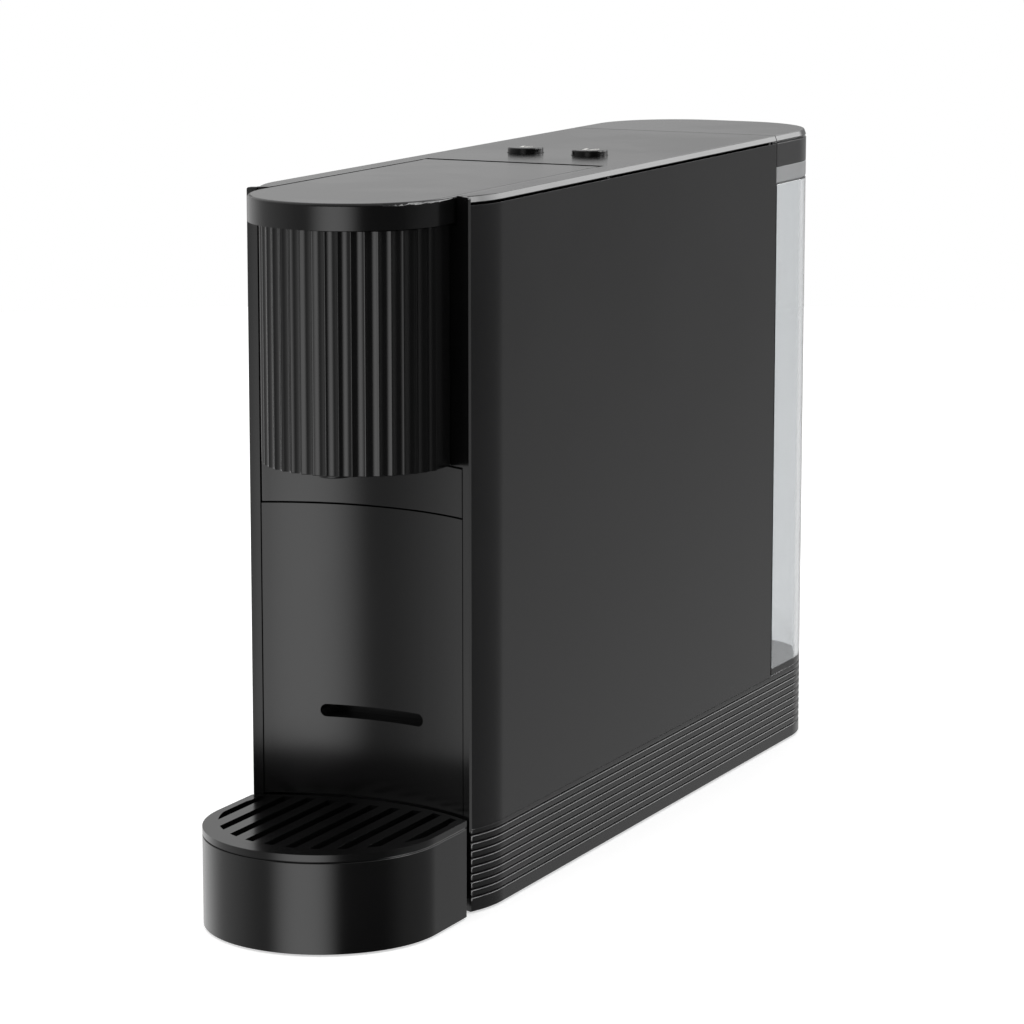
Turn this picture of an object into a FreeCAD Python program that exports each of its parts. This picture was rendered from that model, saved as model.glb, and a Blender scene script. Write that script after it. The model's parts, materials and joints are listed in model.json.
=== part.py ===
import FreeCAD, Part
import math
import os
import Sketcher
from FreeCAD import Placement, Rotation, Vector

# A slim pod coffee machine. +Z is up and the front faces -Y. The origin is on the table, under the
# middle of the machine. The sheet holds the driving dimensions, in millimetres.

SIZES = {
    # Body seen from above: half round front, straight sides, rounded rear corners
    "body_width": 93.0,
    "body_height": 260.0,
    "front_round_y": -115.0,
    "rear_y": 209.0,
    "rear_corner": 38.0,
    "shell": 2.5,
    "seam": 0.4,
    "top_seam": 0.9,
    "bevel_height": 2.4,
    "bevel_inset": 0.9,
    "tank_depth": 64.0,
    # Ribbed base and what it stands on
    "base_height": 31.8,
    "foot_height": 0.8,
    "foot_radius": 8.0,
    "foot_inset": 20.5,
    "front_foot_setback": 20.0,
    "rear_foot_inset": 44.0,
    "plate_thick": 2.0,
    "rib_start": 5.8,
    "rib_pitch": 2.89,
    "rib_groove": 1.0,
    "rib_depth": 0.9,
    "boss_radius": 4.5,
    "boss_inset": 12.0,
    "front_boss_setback": 35.0,
    "rear_boss_lead": 25.0,
    "screw_radius": 1.5,
    "screw_head_radius": 3.0,
    "screw_length": 12.0,
    "gland_radius": 6.5,
    "gland_bore": 3.4,
    "gland_length": 5.0,
    "gland_z": 17.0,
    # Cup bay: a hollow of upright axis between base and head
    "bay_radius": 89.0,
    "bay_lap": 11.7,
    "bay_panel": 3.0,
    "panel_border": 5.9,
    "panel_height": 18.0,
    # Front frame round the bay and the brewing head
    "head_height": 96.4,
    "head_floor_lift": 0.6,
    "head_floor": 2.5,
    "frame_inset": 2.3,
    "frame_flange": 2.2,
    "frame_thick": 1.8,
    "frame_recess": 1.0,
    # Fluted drum under the lid
    "drum_inset": 2.0,
    "drum_lead": 22.0,
    "drum_back_gap": 0.2,
    "drum_wall": 2.4,
    "floor_lap": 4.8,
    "fluted_skin": 0.9,
    "flute_depth": 0.7,
    "flute_radius": 4.0,
    "drum_top_gap": 0.6,
    # Lid with its hinge
    "lid_border": 9.5,
    "lid_lead": 4.3,
    "lid_straight": 133.3,
    "lid_depth": 9.5,
    "lid_wall": 2.4,
    "lid_edge": 1.2,
    "lid_gap": 0.5,
    "liner_thick": 1.6,
    "liner_rear_gap": 10.5,
    "barrel_radius": 3.5,
    "hinge_pin_radius": 1.5,
    "pin_clearance": 0.05,
    "hinge_boss": 5.0,
    "ear_gap": 3.0,
    # Fork on the lid that drives the brewing carriage
    "fork_thick": 3.0,
    "fork_play": 0.6,
    "fork_slot": 6.4,
    "fork_wall": 2.5,
    "fork_reach": 26.0,
    "fork_gap": 0.9,
    "drive_pin_radius": 2.0,
    "carriage_travel": 30.0,
    "drive_pin_drop": 16.4,
    # Inner deck under the lid, with the pod slot
    "deck_gap": 1.0,
    "deck_thick": 2.5,
    "pod_slot_margin": 4.5,
    "pod_slot_length": 34.0,
    "pod_slot_lead": 2.0,
    # Brewing unit
    "pod_radius": 16.0,
    "cage_wall": 4.0,
    "cage_setback": 35.0,
    "cage_depth": 30.0,
    "injector_radius": 18.0,
    "injector_depth": 24.0,
    "brew_wall": 4.0,
    "cage_gap": 1.5,
    "brew_side": 3.0,
    "needle_radius": 1.2,
    "needle_length": 4.0,
    "needle_circle": 8.0,
    "saddle_rise": 4.0,
    "bar_thick": 3.0,
    "bar_height": 8.0,
    "bar_tail": 4.0,
    "slide_gap": 0.4,
    "plate_gap": 4.0,
    "extraction_thick": 6.0,
    "crosspiece": 8.0,
    "crosspiece_drop": 22.0,
    "outlet_radius": 4.5,
    "outlet_lap": 12.0,
    "outlet_drop": 20.0,
    "seal_radius": 1.4,
    # Coffee funnel and spout
    "funnel_half": 12.0,
    "funnel_lead": 7.0,
    "funnel_length": 39.0,
    "funnel_height": 15.0,
    "funnel_gap": 5.8,
    "funnel_wall": 2.0,
    "spout_setback": 16.0,
    "spout_radius": 6.4,
    "spout_bore": 4.5,
    "spout_neck": 5.6,
    "spout_drop": 2.5,
    "fit_gap": 0.1,
    # Middle shelf, pod bin bay and drawer
    "shelf_thick": 2.7,
    "clearance": 0.3,
    "bin_bay_gap": 3.7,
    "bin_bay_wall": 2.0,
    "bin_bay_depth": 105.7,
    "bin_gap": 2.3,
    "bin_wall": 2.0,
    "bin_rear_gap": 3.0,
    "bin_headroom": 24.0,
    "drawer_lift": 0.4,
    "grip_half": 21.0,
    "grip_height": 4.7,
    "grip_z": 68.5,
    "grip_depth": 6.0,
    # Drip tray with its slotted cover
    "tray_inset": 2.5,
    "tray_reach": 38.3,
    "tray_gap": 1.6,
    "tray_rise": 4.8,
    "grid_thick": 2.4,
    "tray_wall": 2.2,
    "tray_floor": 2.0,
    "tray_groove": 0.6,
    "grid_lip": 1.6,
    "grid_slot": 3.8,
    "grid_margin": 4.985,
    "grid_arc_inset": 2.2,
    "grid_arc_setback": 7.0,
    "grid_slot_rear": 7.0,
    "tongue_x": 18.0,
    "tongue_half": 4.0,
    "tongue_z": 4.5,
    "tongue_thick": 4.0,
    "tongue_length": 18.0,
    "tray_foot_radius": 5.0,
    "tray_foot_inset": 19.0,
    "tray_foot_span": 32.0,
    # Water tank at the rear
    "tank_gap": 0.6,
    "tank_wall": 2.0,
    "tank_floor": 2.5,
    "tank_lid_height": 13.1,
    "collar_height": 6.9,
    "collar_groove": 0.6,
    "lid_groove": 2.0,
    "lip_wall": 1.5,
    "lip_depth": 4.0,
    "valve_setback": 27.0,
    "valve_radius": 8.0,
    "valve_flange": 12.0,
    "valve_flange_thick": 2.0,
    "valve_drop": 9.0,
    "valve_bore": 4.0,
    "seat_radius": 14.0,
    "seat_depth": 17.0,
    "seat_floor": 4.0,
    "seat_gap": 2.2,
    # Buttons and control board
    "button_radius": 7.0,
    "button_x": 13.8,
    "button_setback": 38.7,
    "button_proud": 2.3,
    "button_travel": 1.2,
    "button_flange": 1.2,
    "button_flange_thick": 1.5,
    "button_stem": 3.0,
    "button_stem_length": 7.2,
    "switch_half": 3.0,
    "switch_gap": 0.1,
    "switch_height": 6.3,
    "board_half": 30.0,
    "board_lead": 16.7,
    "board_length": 50.0,
    "board_thick": 1.6,
    "standoff_radius": 3.0,
    "standoff_inset": 4.0,
    # Water circuit
    "pump_radius": 15.0,
    "pump_length": 86.0,
    "coil_half": 22.0,
    "coil_setback": 20.0,
    "coil_length": 46.0,
    "coil_height": 48.0,
    "stub_radius": 4.0,
    "stub_length": 6.0,
    "injector_stub": 2.0,
    "mount_height": 11.6,
    "mount_length": 10.0,
    "mount_inset": 4.0,
    "meter_lead": 15.0,
    "pump_lead": 18.0,
    "meter_radius": 10.0,
    "meter_height": 17.6,
    "block_half": 24.0,
    "block_length": 66.0,
    "block_height": 24.0,
    "riser_lead": 10.0,
    "riser_inset": 6.0,
    "thermostat_radius": 8.0,
    "thermostat_height": 6.0,
    "hose_radius": 3.0,
    "hose_bend": 8.0,
}

RIB_GROOVES = 9
FLUTES = 20
FLUTE_SPREAD = 156.8
GRID_SLOTS = 10
LID_SWING = 85.0
PLATE_HOLES = 6
NEEDLES = 3
EDGE_TOLERANCE = 0.01

doc = FreeCAD.newDocument("pod_coffee_machine")
sheet = doc.addObject("Spreadsheet::Sheet", "Sizes")
for row, (alias, number) in enumerate(SIZES.items(), start=1):
    sheet.set(f"A{row}", alias)
    sheet.set(f"B{row}", str(number))
    sheet.setAlias(f"B{row}", alias)
doc.recompute()


class Size:
    """A size worked out from the sheet: the expression that a property is bound to, and its number."""

    def __init__(self, text, number):
        self.text = text
        self.number = number

    @staticmethod
    def of(thing):
        """The size itself, or a plain number as a size."""
        return thing if isinstance(thing, Size) else Size(repr(float(thing)), float(thing))

    def __add__(self, other):
        other = Size.of(other)
        return Size(f"({self.text} + {other.text})", self.number + other.number)

    def __sub__(self, other):
        other = Size.of(other)
        return Size(f"({self.text} - {other.text})", self.number - other.number)

    def __rsub__(self, other):
        return Size.of(other) - self

    def __mul__(self, factor):
        other = Size.of(factor)
        return Size(f"({self.text} * {other.text})", self.number * other.number)

    def __truediv__(self, divisor):
        other = Size.of(divisor)
        return Size(f"({self.text} / {other.text})", self.number / other.number)

    def __neg__(self):
        return Size(f"(0 - {self.text})", -self.number)

    __radd__ = __add__
    __rmul__ = __mul__


def root(size):
    """The square root of a size that is an area."""
    return Size(f"sqrt({size.text})", math.sqrt(size.number))


class Sheet:
    """The sheet's cells by name."""

    def __getattr__(self, alias):
        return Size(f"Sizes.{alias}", float(sheet.get(alias)))


S = Sheet()
pieces = {}


# Building blocks: primitives, outlines and booleans bound to the sheet

def bind(thing, name, size):
    """Tie one property of a document object to the sheet."""
    thing.setExpression(name, Size.of(size).text)


def place(thing, x=0, y=0, z=0):
    """Tie the position of a document object to the sheet."""
    for axis, size in zip("xyz", (x, y, z)):
        bind(thing, f"Placement.Base.{axis}", size)
    return thing


def both(half):
    """The span from minus to plus a half width."""
    return (-Size.of(half), Size.of(half))


def block(x, y, z):
    """A box over the spans x, y and z, each a low and a high side."""
    solid = doc.addObject("Part::Box", "block")
    for name, (low, high) in zip(("Length", "Width", "Height"), (x, y, z)):
        bind(solid, name, Size.of(high) - low)
    return place(solid, x[0], y[0], z[0])


def rod(axis, centre, radius, span):
    """A cylinder along an axis: centre holds the other two coordinates, span its two ends."""
    solid = doc.addObject("Part::Cylinder", "rod")
    bind(solid, "Radius", radius)
    bind(solid, "Height", Size.of(span[1]) - span[0])
    if axis == "x":
        solid.Placement = Placement(Vector(), Rotation(Vector(0, 1, 0), 90))
        return place(solid, span[0], *centre)
    if axis == "y":
        solid.Placement = Placement(Vector(), Rotation(Vector(1, 0, 0), -90))
        return place(solid, centre[0], span[0], centre[1])
    return place(solid, *centre, span[0])


def ring(axis, centre, radius, section, middle):
    """A torus round an axis, with its own radius and that of its section."""
    solid = doc.addObject("Part::Torus", "ring")
    bind(solid, "Radius1", radius)
    bind(solid, "Radius2", section)
    if axis == "y":
        solid.Placement = Placement(Vector(), Rotation(Vector(1, 0, 0), -90))
        return place(solid, centre[0], middle, centre[1])
    return place(solid, *centre, middle)


def spike(centre, radius, base_y, length):
    """A cone along -Y from its base."""
    solid = doc.addObject("Part::Cone", "spike")
    bind(solid, "Radius1", radius)
    bind(solid, "Radius2", 0)
    bind(solid, "Height", length)
    solid.Placement = Placement(Vector(), Rotation(Vector(1, 0, 0), 90))
    return place(solid, centre[0], base_y, centre[1])


def fuse(*solids):
    """One solid from several that overlap or touch."""
    joined = doc.addObject("Part::MultiFuse", "fuse")
    joined.Shapes = list(solids)
    joined.Refine = True
    return joined


def cut(base, *tools):
    """A solid with the tools taken away."""
    left = doc.addObject("Part::Cut", "cut")
    left.Base = base
    left.Tool = tools[0] if len(tools) == 1 else fuse(*tools)
    left.Refine = True
    return left


def common(*solids):
    """What several solids share."""
    shared = doc.addObject("Part::MultiCommon", "common")
    shared.Shapes = list(solids)
    shared.Refine = True
    return shared


def group(*solids):
    """Several like solids kept in one piece's file."""
    together = doc.addObject("Part::Compound", "group")
    together.Links = list(solids)
    return together


def outline(half, front_y, rear_y, corner=None):
    """A closed outline in plan: half round front, straight sides, and a rear square or rounded."""
    sketch = doc.addObject("Sketcher::SketchObject", "outline")
    wide, front, rear = half.number, front_y.number, rear_y.number
    turn = corner.number if corner else 0.0
    up = Vector(0, 0, 1)

    def arc(x, y, radius, start, end):
        return Part.ArcOfCircle(Part.Circle(Vector(x, y, 0), up, radius), start, end)

    def line(x0, y0, x1, y1):
        return Part.LineSegment(Vector(x0, y0, 0), Vector(x1, y1, 0))

    edges = [arc(0, front, wide, math.pi, 2 * math.pi), line(wide, front, wide, rear - turn)]
    if corner:
        edges.append(arc(wide - turn, rear - turn, turn, 0, math.pi / 2))
    back = len(edges)
    edges.append(line(wide - turn, rear, turn - wide, rear))
    if corner:
        edges.append(arc(turn - wide, rear - turn, turn, math.pi / 2, math.pi))
    edges.append(line(-wide, rear - turn, -wide, front))
    for edge in edges:
        sketch.addGeometry(edge)
    count = len(edges)
    for index in range(count):
        following = (index + 1) % count
        square = not corner and back in (index, following)
        sketch.addConstraint(
            Sketcher.Constraint("Coincident" if square else "Tangent", index, 2, following, 1))
    sketch.addConstraint(Sketcher.Constraint("PointOnObject", 0, 3, -2))
    sketch.addConstraint(Sketcher.Constraint("Vertical", 1))
    sketch.addConstraint(Sketcher.Constraint("Vertical", count - 1))
    sketch.addConstraint(Sketcher.Constraint("Horizontal", back))
    driven = [
        ("front", Sketcher.Constraint("DistanceY", -1, 1, 0, 3, front), front_y),
        ("half", Sketcher.Constraint("Radius", 0, wide), half),
        ("rear", Sketcher.Constraint("DistanceY", -1, 1, back, 1, rear), rear_y),
    ]
    if corner:
        sketch.addConstraint(Sketcher.Constraint("Equal", 2, 4))
        driven.append(("corner", Sketcher.Constraint("Radius", 2, turn), corner))
    for name, constraint, size in driven:
        sketch.renameConstraint(sketch.addConstraint(constraint), name)
        bind(sketch, f"Constraints.{name}", size)
    return sketch


def inset(plan, distance):
    """An outline drawn in all round by a distance."""
    smaller = doc.addObject("Part::Offset2D", "inset")
    smaller.Source = plan
    bind(smaller, "Value", -Size.of(distance))
    return smaller


def rim(plan, wall):
    """The band between an outline and the same outline drawn in by a wall."""
    band = inset(plan, wall)
    band.Fill = True
    return band


def prism(plan, low, high, slope=None):
    """A plan raised from one height to another, its sides leaning in by slope where one is given."""
    solid = doc.addObject("Part::Extrusion", "prism")
    solid.Base = plan
    solid.DirMode = "Custom"
    solid.Dir = Vector(0, 0, 1)
    solid.Solid = True
    height = Size.of(high) - low
    bind(solid, "LengthFwd", height)
    if slope is not None:
        solid.setExpression("TaperAngle", f"-atan({slope.text} / {height.text})")
    return place(solid, z=low)


def piece(node, solid):
    """Name a finished sub-part after its file."""
    solid.Label = node
    pieces[node] = solid


def hose(points, radius, bend):
    """A round hose along straight runs with a bend at each corner."""
    path = []
    start = points[0]
    for corner, after in zip(points[1:-1], points[2:]):
        inward = (start - corner).normalize()
        onward = (after - corner).normalize()
        entry = corner + inward * bend
        leave = corner + onward * bend
        centre = corner + (inward + onward) * bend
        middle = centre - (inward + onward).normalize() * bend
        path.append(Part.LineSegment(start, entry).toShape())
        path.append(Part.Arc(entry, middle, leave).toShape())
        start = leave
    path.append(Part.LineSegment(start, points[-1]).toShape())
    spine = Part.Wire(path)
    section = Part.Wire(Part.Circle(points[0], points[1] - points[0], radius).toShape())
    tube = doc.addObject("Part::Feature", "hose")
    tube.Shape = spine.makePipeShell([section], True, False)
    return tube


# Heights and places that several pieces share

# Across the machine
half = S.body_width / 2
inner_half = half - S.shell
panel_half = half - S.panel_border
frame_half = half - S.frame_inset
lid_half = half - S.lid_border
drum_radius = lid_half - S.drum_inset
drum_core = drum_radius - S.fluted_skin
deck_half = drum_core - S.drum_wall - S.clearance
pin_half = inner_half - S.ear_gap
brew_half = S.pod_radius + S.cage_wall + S.cage_gap
bar_in = brew_half + S.brew_side + S.slide_gap
bar_out = bar_in + S.bar_thick
fork_x = bar_out + S.fork_play + S.fork_thick / 2
pod_slot_half = S.pod_radius + S.pod_slot_margin
bin_bay_half = inner_half - S.bin_bay_gap
bin_half = bin_bay_half - S.bin_bay_wall - S.bin_gap
tray_half = half - S.tray_inset

# Up the machine
roof_z = S.base_height
plate_z = S.foot_height + S.plate_thick
bevel_z = S.body_height - S.bevel_height
lid_z = S.body_height - S.lid_depth
deck_z = lid_z - S.deck_gap
deck_under_z = deck_z - S.deck_thick
hinge_z = S.body_height - S.barrel_radius
pin_z = hinge_z - S.drive_pin_drop
head_bottom = S.body_height - S.head_height
head_floor_z = head_bottom + S.head_floor_lift
head_top_z = head_floor_z + S.head_floor
panel_seam_z = head_bottom - S.panel_height
shelf_z = head_top_z - S.shelf_thick
bin_top_z = shelf_z - S.bin_headroom
tray_top = S.base_height + S.tray_rise
drawer_z = tray_top + S.drawer_lift
funnel_top_z = head_top_z + S.funnel_height
outlet_z = funnel_top_z + S.funnel_gap + S.outlet_radius
brew_z = outlet_z + S.outlet_drop
collar_top = S.body_height - S.tank_lid_height
tank_top = collar_top - S.collar_height
tank_port_z = roof_z - S.seat_depth + S.seat_floor + S.hose_radius
stem_z = bevel_z - S.clearance - S.button_flange_thick - S.button_stem_length
board_z = stem_z - S.button_travel - S.switch_gap - S.switch_height - S.board_thick
pump_z = roof_z + S.mount_height + S.coil_height / 2

# Along the machine, from the front round back
bay_mid_y = S.front_round_y - S.bay_lap
bay_centre_y = bay_mid_y - S.bay_radius
bay_back_y = bay_mid_y + S.bay_panel
cover_lag = S.bay_panel + S.seam
tray_rear_y = bay_mid_y - S.tray_gap
tray_centre_y = bay_mid_y - S.tray_reach
drum_centre_y = S.front_round_y - S.drum_lead
drum_seat = S.bay_radius + S.frame_recess
drum_back_y = bay_centre_y + root(drum_seat * drum_seat - drum_core * drum_core) - S.drum_back_gap
spout_y = drum_centre_y - drum_radius + S.spout_setback
funnel_front_y = spout_y - S.funnel_lead
funnel_rear_y = funnel_front_y + S.funnel_length
lid_centre_y = drum_centre_y - S.lid_lead
lid_rear_y = lid_centre_y + S.lid_straight
hinge_y = lid_rear_y - S.lid_gap - S.barrel_radius
pin_y = hinge_y + S.carriage_travel / 2
button_y = lid_rear_y + S.button_setback
board_front_y = button_y - S.board_lead
board_rear_y = board_front_y + S.board_length
cage_front_y = S.front_round_y + S.cage_setback
brew_rear_y = cage_front_y + S.cage_depth + S.injector_depth
injector_end_y = brew_rear_y + S.brew_wall + S.injector_stub
pod_slot_rear_y = cage_front_y - S.pod_slot_lead
pod_slot_front_y = pod_slot_rear_y - S.pod_slot_length
bin_bay_rear_y = bay_back_y + S.bin_bay_depth
bin_rear_y = bin_bay_rear_y - S.bin_bay_wall - S.bin_rear_gap
tank_seam_y = S.rear_y - S.tank_depth
rear_wall_y = tank_seam_y - S.shell
valve_y = tank_seam_y + S.valve_setback
meter_y = tank_seam_y - S.meter_lead
pump_rear_y = meter_y - S.pump_lead
pump_front_y = pump_rear_y - S.pump_length
coil_front_y = pump_front_y + S.coil_setback
riser_y = pump_front_y - S.stub_length - S.riser_lead
block_front_y = riser_y - S.riser_inset
beyond = S.body_height
screw_spots = [(x, y) for x in both(inner_half - S.boss_inset)
               for y in (S.front_round_y + S.front_boss_setback, tank_seam_y - S.rear_boss_lead)]
foot_spots = [(x, y) for x in both(half - S.foot_inset)
              for y in (S.front_round_y + S.front_foot_setback, S.rear_y - S.rear_foot_inset)]

body_plan = outline(half, S.front_round_y, S.rear_y, S.rear_corner)
drum_plan = outline(drum_core, drum_centre_y, drum_back_y)
lid_plan = outline(lid_half, lid_centre_y, hinge_y)
tray_plan = outline(tray_half, tray_centre_y, bay_mid_y)


def bay(grow, low, high):
    """The cup bay's hollow, or one grown by a wall."""
    return rod("z", (0, bay_centre_y), S.bay_radius + grow, (low, high))


def sheet_of_bay(low, high, wide, thick=S.bay_panel, recess=0):
    """A panel that lines the bay's hollow between two heights, its face drawn back by a recess."""
    slab = block(both(wide), (bay_centre_y, bay_back_y), (low, high))
    return cut(common(slab, bay(thick, low, high)), bay(recess, low, high))


def corners(x, front_y, rear_y):
    """Four places, left and right, front and rear."""
    return [(side, y) for side in both(x) for y in (front_y, rear_y)]


# Base, its closing plate, feet, screws and cord inlet

def build_base():
    block_of_base = prism(body_plan, S.foot_height, roof_z)
    hollow = cut(prism(inset(body_plan, S.shell), S.foot_height, roof_z - S.shell),
                 bay(cover_lag + S.shell, S.foot_height, roof_z))
    shell = cut(block_of_base, hollow, bay(cover_lag, 0, roof_z + S.seam))
    bosses = [rod("z", spot, S.boss_radius, (plate_z, roof_z - S.shell))
              for spot in screw_spots]
    bores = [rod("z", spot, S.screw_radius + S.fit_gap, (plate_z, plate_z + S.screw_length))
             for spot in screw_spots]
    grooves = []
    for index in range(RIB_GROOVES):
        low = S.rib_start + S.rib_pitch * index
        grooves.append(prism(rim(body_plan, S.rib_depth), low, low + S.rib_groove))
    sockets = [block((x - S.tongue_half - S.clearance, x + S.tongue_half + S.clearance),
                     (tray_rear_y, bay_mid_y + cover_lag + S.shell),
                     (S.tongue_z - S.clearance, S.tongue_z + S.tongue_thick + S.clearance))
               for x in both(S.tongue_x)]
    ports = [
        rod("z", (0, valve_y), S.seat_radius + S.fit_gap, (roof_z - S.shell - S.seam, roof_z + S.seam)),
        rod("z", (0, meter_y), S.hose_radius + S.clearance, (roof_z - S.shell - S.seam, roof_z + S.seam)),
        rod("y", (0, S.gland_z), S.gland_radius + S.fit_gap, (S.rear_y - S.gland_length, S.rear_y)),
    ]
    piece("ribbed_base", cut(fuse(shell, *bosses), *bores, *grooves, *sockets, *ports))

    floor = cut(prism(inset(body_plan, S.shell + S.clearance), S.foot_height, plate_z),
                bay(cover_lag + S.shell + S.clearance, 0, plate_z + S.seam))
    sinks = [rod("z", spot, S.screw_head_radius + S.fit_gap, (0, plate_z + S.seam))
             for spot in screw_spots]
    piece("bottom_plate", cut(floor, *sinks))
    piece("base_screws", group(*[
        fuse(rod("z", spot, S.screw_head_radius, (S.foot_height, plate_z)),
             rod("z", spot, S.screw_radius, (S.foot_height, plate_z + S.screw_length - S.seam)))
        for spot in screw_spots]))
    piece("feet", group(*[rod("z", spot, S.foot_radius, (0, S.foot_height))
                          for spot in foot_spots]))
    gland_span = (S.rear_y - S.gland_length, S.rear_y - S.rib_depth)
    piece("cord_gland", cut(rod("y", (0, S.gland_z), S.gland_radius, gland_span),
                            rod("y", (0, S.gland_z), S.gland_bore, gland_span)))


# Outer covers: two sides, the top, the front frame and the wall towards the tank

def bevelled_slab():
    """The top of the machine, whose edge leans in all round."""
    return prism(body_plan, bevel_z, S.body_height, slope=S.bevel_inset)


def build_covers():
    ahead = bay(cover_lag, 0, S.body_height)
    wall = cut(prism(rim(body_plan, S.shell), roof_z, bevel_z - S.top_seam), ahead)
    depth = (bay_centre_y, tank_seam_y)
    height = (roof_z, bevel_z)
    piece("right_side_cover", common(wall, block((0, half), depth, height)))
    piece("left_side_cover", common(wall, block((-half, 0), depth, height)))

    lid_well = block(both(lid_half + S.lid_gap), (bay_centre_y, lid_rear_y),
                     (bevel_z - S.seam, S.body_height + S.seam))
    top = cut(common(bevelled_slab(), block(both(half), depth, (bevel_z, S.body_height))), lid_well, ahead)
    ears = [block((low, high), (hinge_y - S.hinge_boss, lid_rear_y), (hinge_z - S.hinge_boss, bevel_z))
            for low, high in ((lid_half + S.lid_gap, pin_half), (-pin_half, -lid_half - S.lid_gap))]
    posts = [rod("z", spot, S.standoff_radius, (board_z + S.board_thick, bevel_z))
             for spot in corners(S.board_half - S.standoff_inset, board_front_y + S.standoff_inset,
                                 board_rear_y - S.standoff_inset)]
    pin_bore = rod("x", (hinge_y, hinge_z), S.hinge_pin_radius, both(pin_half))
    holes = [rod("z", (x, button_y), S.button_radius + S.clearance, (bevel_z, S.body_height))
             for x in both(S.button_x)]
    piece("top_cover", cut(fuse(top, *ears, *posts), pin_bore, *holes))
    piece("hinge_pin", rod("x", (hinge_y, hinge_z), S.hinge_pin_radius, both(pin_half)))

    piece("rear_wall", block(both(inner_half), (rear_wall_y, tank_seam_y), (roof_z, bevel_z)))


def build_front_frame():
    rise = (roof_z, S.body_height)
    opening = panel_half + S.seam
    flange = sheet_of_bay(*rise, frame_half, S.frame_thick)
    posts = cut(fuse(flange, sheet_of_bay(*rise, frame_half - S.frame_flange)),
                block(both(opening), (bay_centre_y, bay_back_y), rise))
    wings = cut(sheet_of_bay(head_bottom, S.body_height, opening, recess=S.frame_recess),
                block(both(drum_core - S.drum_wall), (bay_centre_y, bay_back_y), rise))

    floor_span = (head_floor_z, head_top_z)
    floor = cut(fuse(prism(inset(drum_plan, S.drum_wall + S.clearance), *floor_span),
                     block(both(deck_half), (drum_back_y - S.floor_lap, bay_back_y), floor_span),
                     cut(block(both(opening), (drum_back_y + S.clearance, bay_back_y), floor_span),
                         bay(S.frame_recess, *floor_span))),
                rod("z", (0, spout_y), S.spout_neck + S.fit_gap, floor_span))
    lid_room = block(both(lid_half + S.lid_gap), (bay_centre_y, bay_back_y), (deck_z, S.body_height))
    cover_room = cut(prism(rim(body_plan, S.shell + S.clearance), *rise), bay(S.bay_panel, *rise))
    piece("front_frame", cut(fuse(posts, wings, floor), lid_room, cover_room))

    piece("bay_panel", sheet_of_bay(panel_seam_z, head_bottom, panel_half))


def build_drum():
    top = lid_z - S.drum_top_gap
    span = (head_bottom, top)
    wall = cut(prism(rim(drum_plan, S.drum_wall), *span),
               block(both(drum_core - S.drum_wall), (drum_back_y - S.drum_wall, 0), (0, S.body_height)))
    skin_end_y = drum_centre_y - drum_radius * math.cos(math.radians(FLUTE_SPREAD / 2))
    skin = common(rod("z", (0, drum_centre_y), drum_radius, span),
                  block(both(drum_radius), (drum_centre_y - drum_radius, skin_end_y), span))
    reach = drum_radius - S.flute_depth + S.flute_radius
    flutes = []
    for index in range(FLUTES):
        angle = math.radians(FLUTE_SPREAD * ((index + 0.5) / FLUTES - 0.5))
        spot = (reach * math.sin(angle), drum_centre_y - reach * math.cos(angle))
        flutes.append(rod("z", spot, S.flute_radius, span))
    hollow = prism(inset(drum_plan, S.drum_wall), 0, S.body_height)
    piece("fluted_drum", cut(fuse(wall, skin), hollow, *flutes))


# Lid: a shell on a barrel hinge, with the two forks that drive the carriage

def build_lid():
    outer = prism(lid_plan, lid_z, S.body_height)
    doc.recompute()
    edge = doc.addObject("Part::Fillet", "lid_edge")
    edge.Base = outer
    top = S.body_height.number
    rounded = [number for number, line in enumerate(outer.Shape.Edges, start=1)
               if line.BoundBox.ZMin > top - EDGE_TOLERANCE
               and line.BoundBox.YMin < hinge_y.number - EDGE_TOLERANCE]
    edge.Edges = [(number, S.lid_edge.number, S.lid_edge.number) for number in rounded]
    cavity = prism(inset(lid_plan, S.lid_wall), lid_z, S.body_height - S.lid_wall)
    barrel = rod("x", (hinge_y, hinge_z), S.barrel_radius, both(lid_half))
    bore = rod("x", (hinge_y, hinge_z), S.hinge_pin_radius + S.pin_clearance, both(lid_half))

    lean = math.degrees(math.atan2(S.drive_pin_drop.number, S.carriage_travel.number / 2))
    forks = []
    for x in both(fork_x):
        width = S.fork_slot / 2 + S.fork_wall
        thick = (-S.fork_thick / 2, S.fork_thick / 2)
        slot_start = S.drive_pin_drop - S.fork_slot / 2
        arm = cut(block(thick, (S.barrel_radius - S.lid_gap, S.fork_reach), both(width)),
                  block(thick, (slot_start, S.fork_reach), both(S.fork_slot / 2)))
        arm.Placement = Placement(Vector(), Rotation(Vector(1, 0, 0), -lean))
        place(arm, x, hinge_y, hinge_z)
        forks.append(arm)
    deck_room = block(both(lid_half), (lid_rear_y - S.lid_gap, beyond),
                      (bevel_z - S.lid_gap, S.body_height + S.seam))
    above = block(both(lid_half), (hinge_y - S.fork_reach, beyond), (S.body_height, S.body_height + beyond))
    piece("lid_shell", cut(fuse(cut(edge, cavity), barrel, *forks), bore, deck_room, above))

    liner_top = S.body_height - S.lid_wall
    liner = prism(inset(lid_plan, S.lid_wall + S.clearance), liner_top - S.liner_thick, liner_top)
    behind = block(both(lid_half), (hinge_y - S.liner_rear_gap, beyond), (lid_z, S.body_height))
    piece("lid_liner", cut(liner, behind))


# Inner deck with the pod slot

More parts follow.
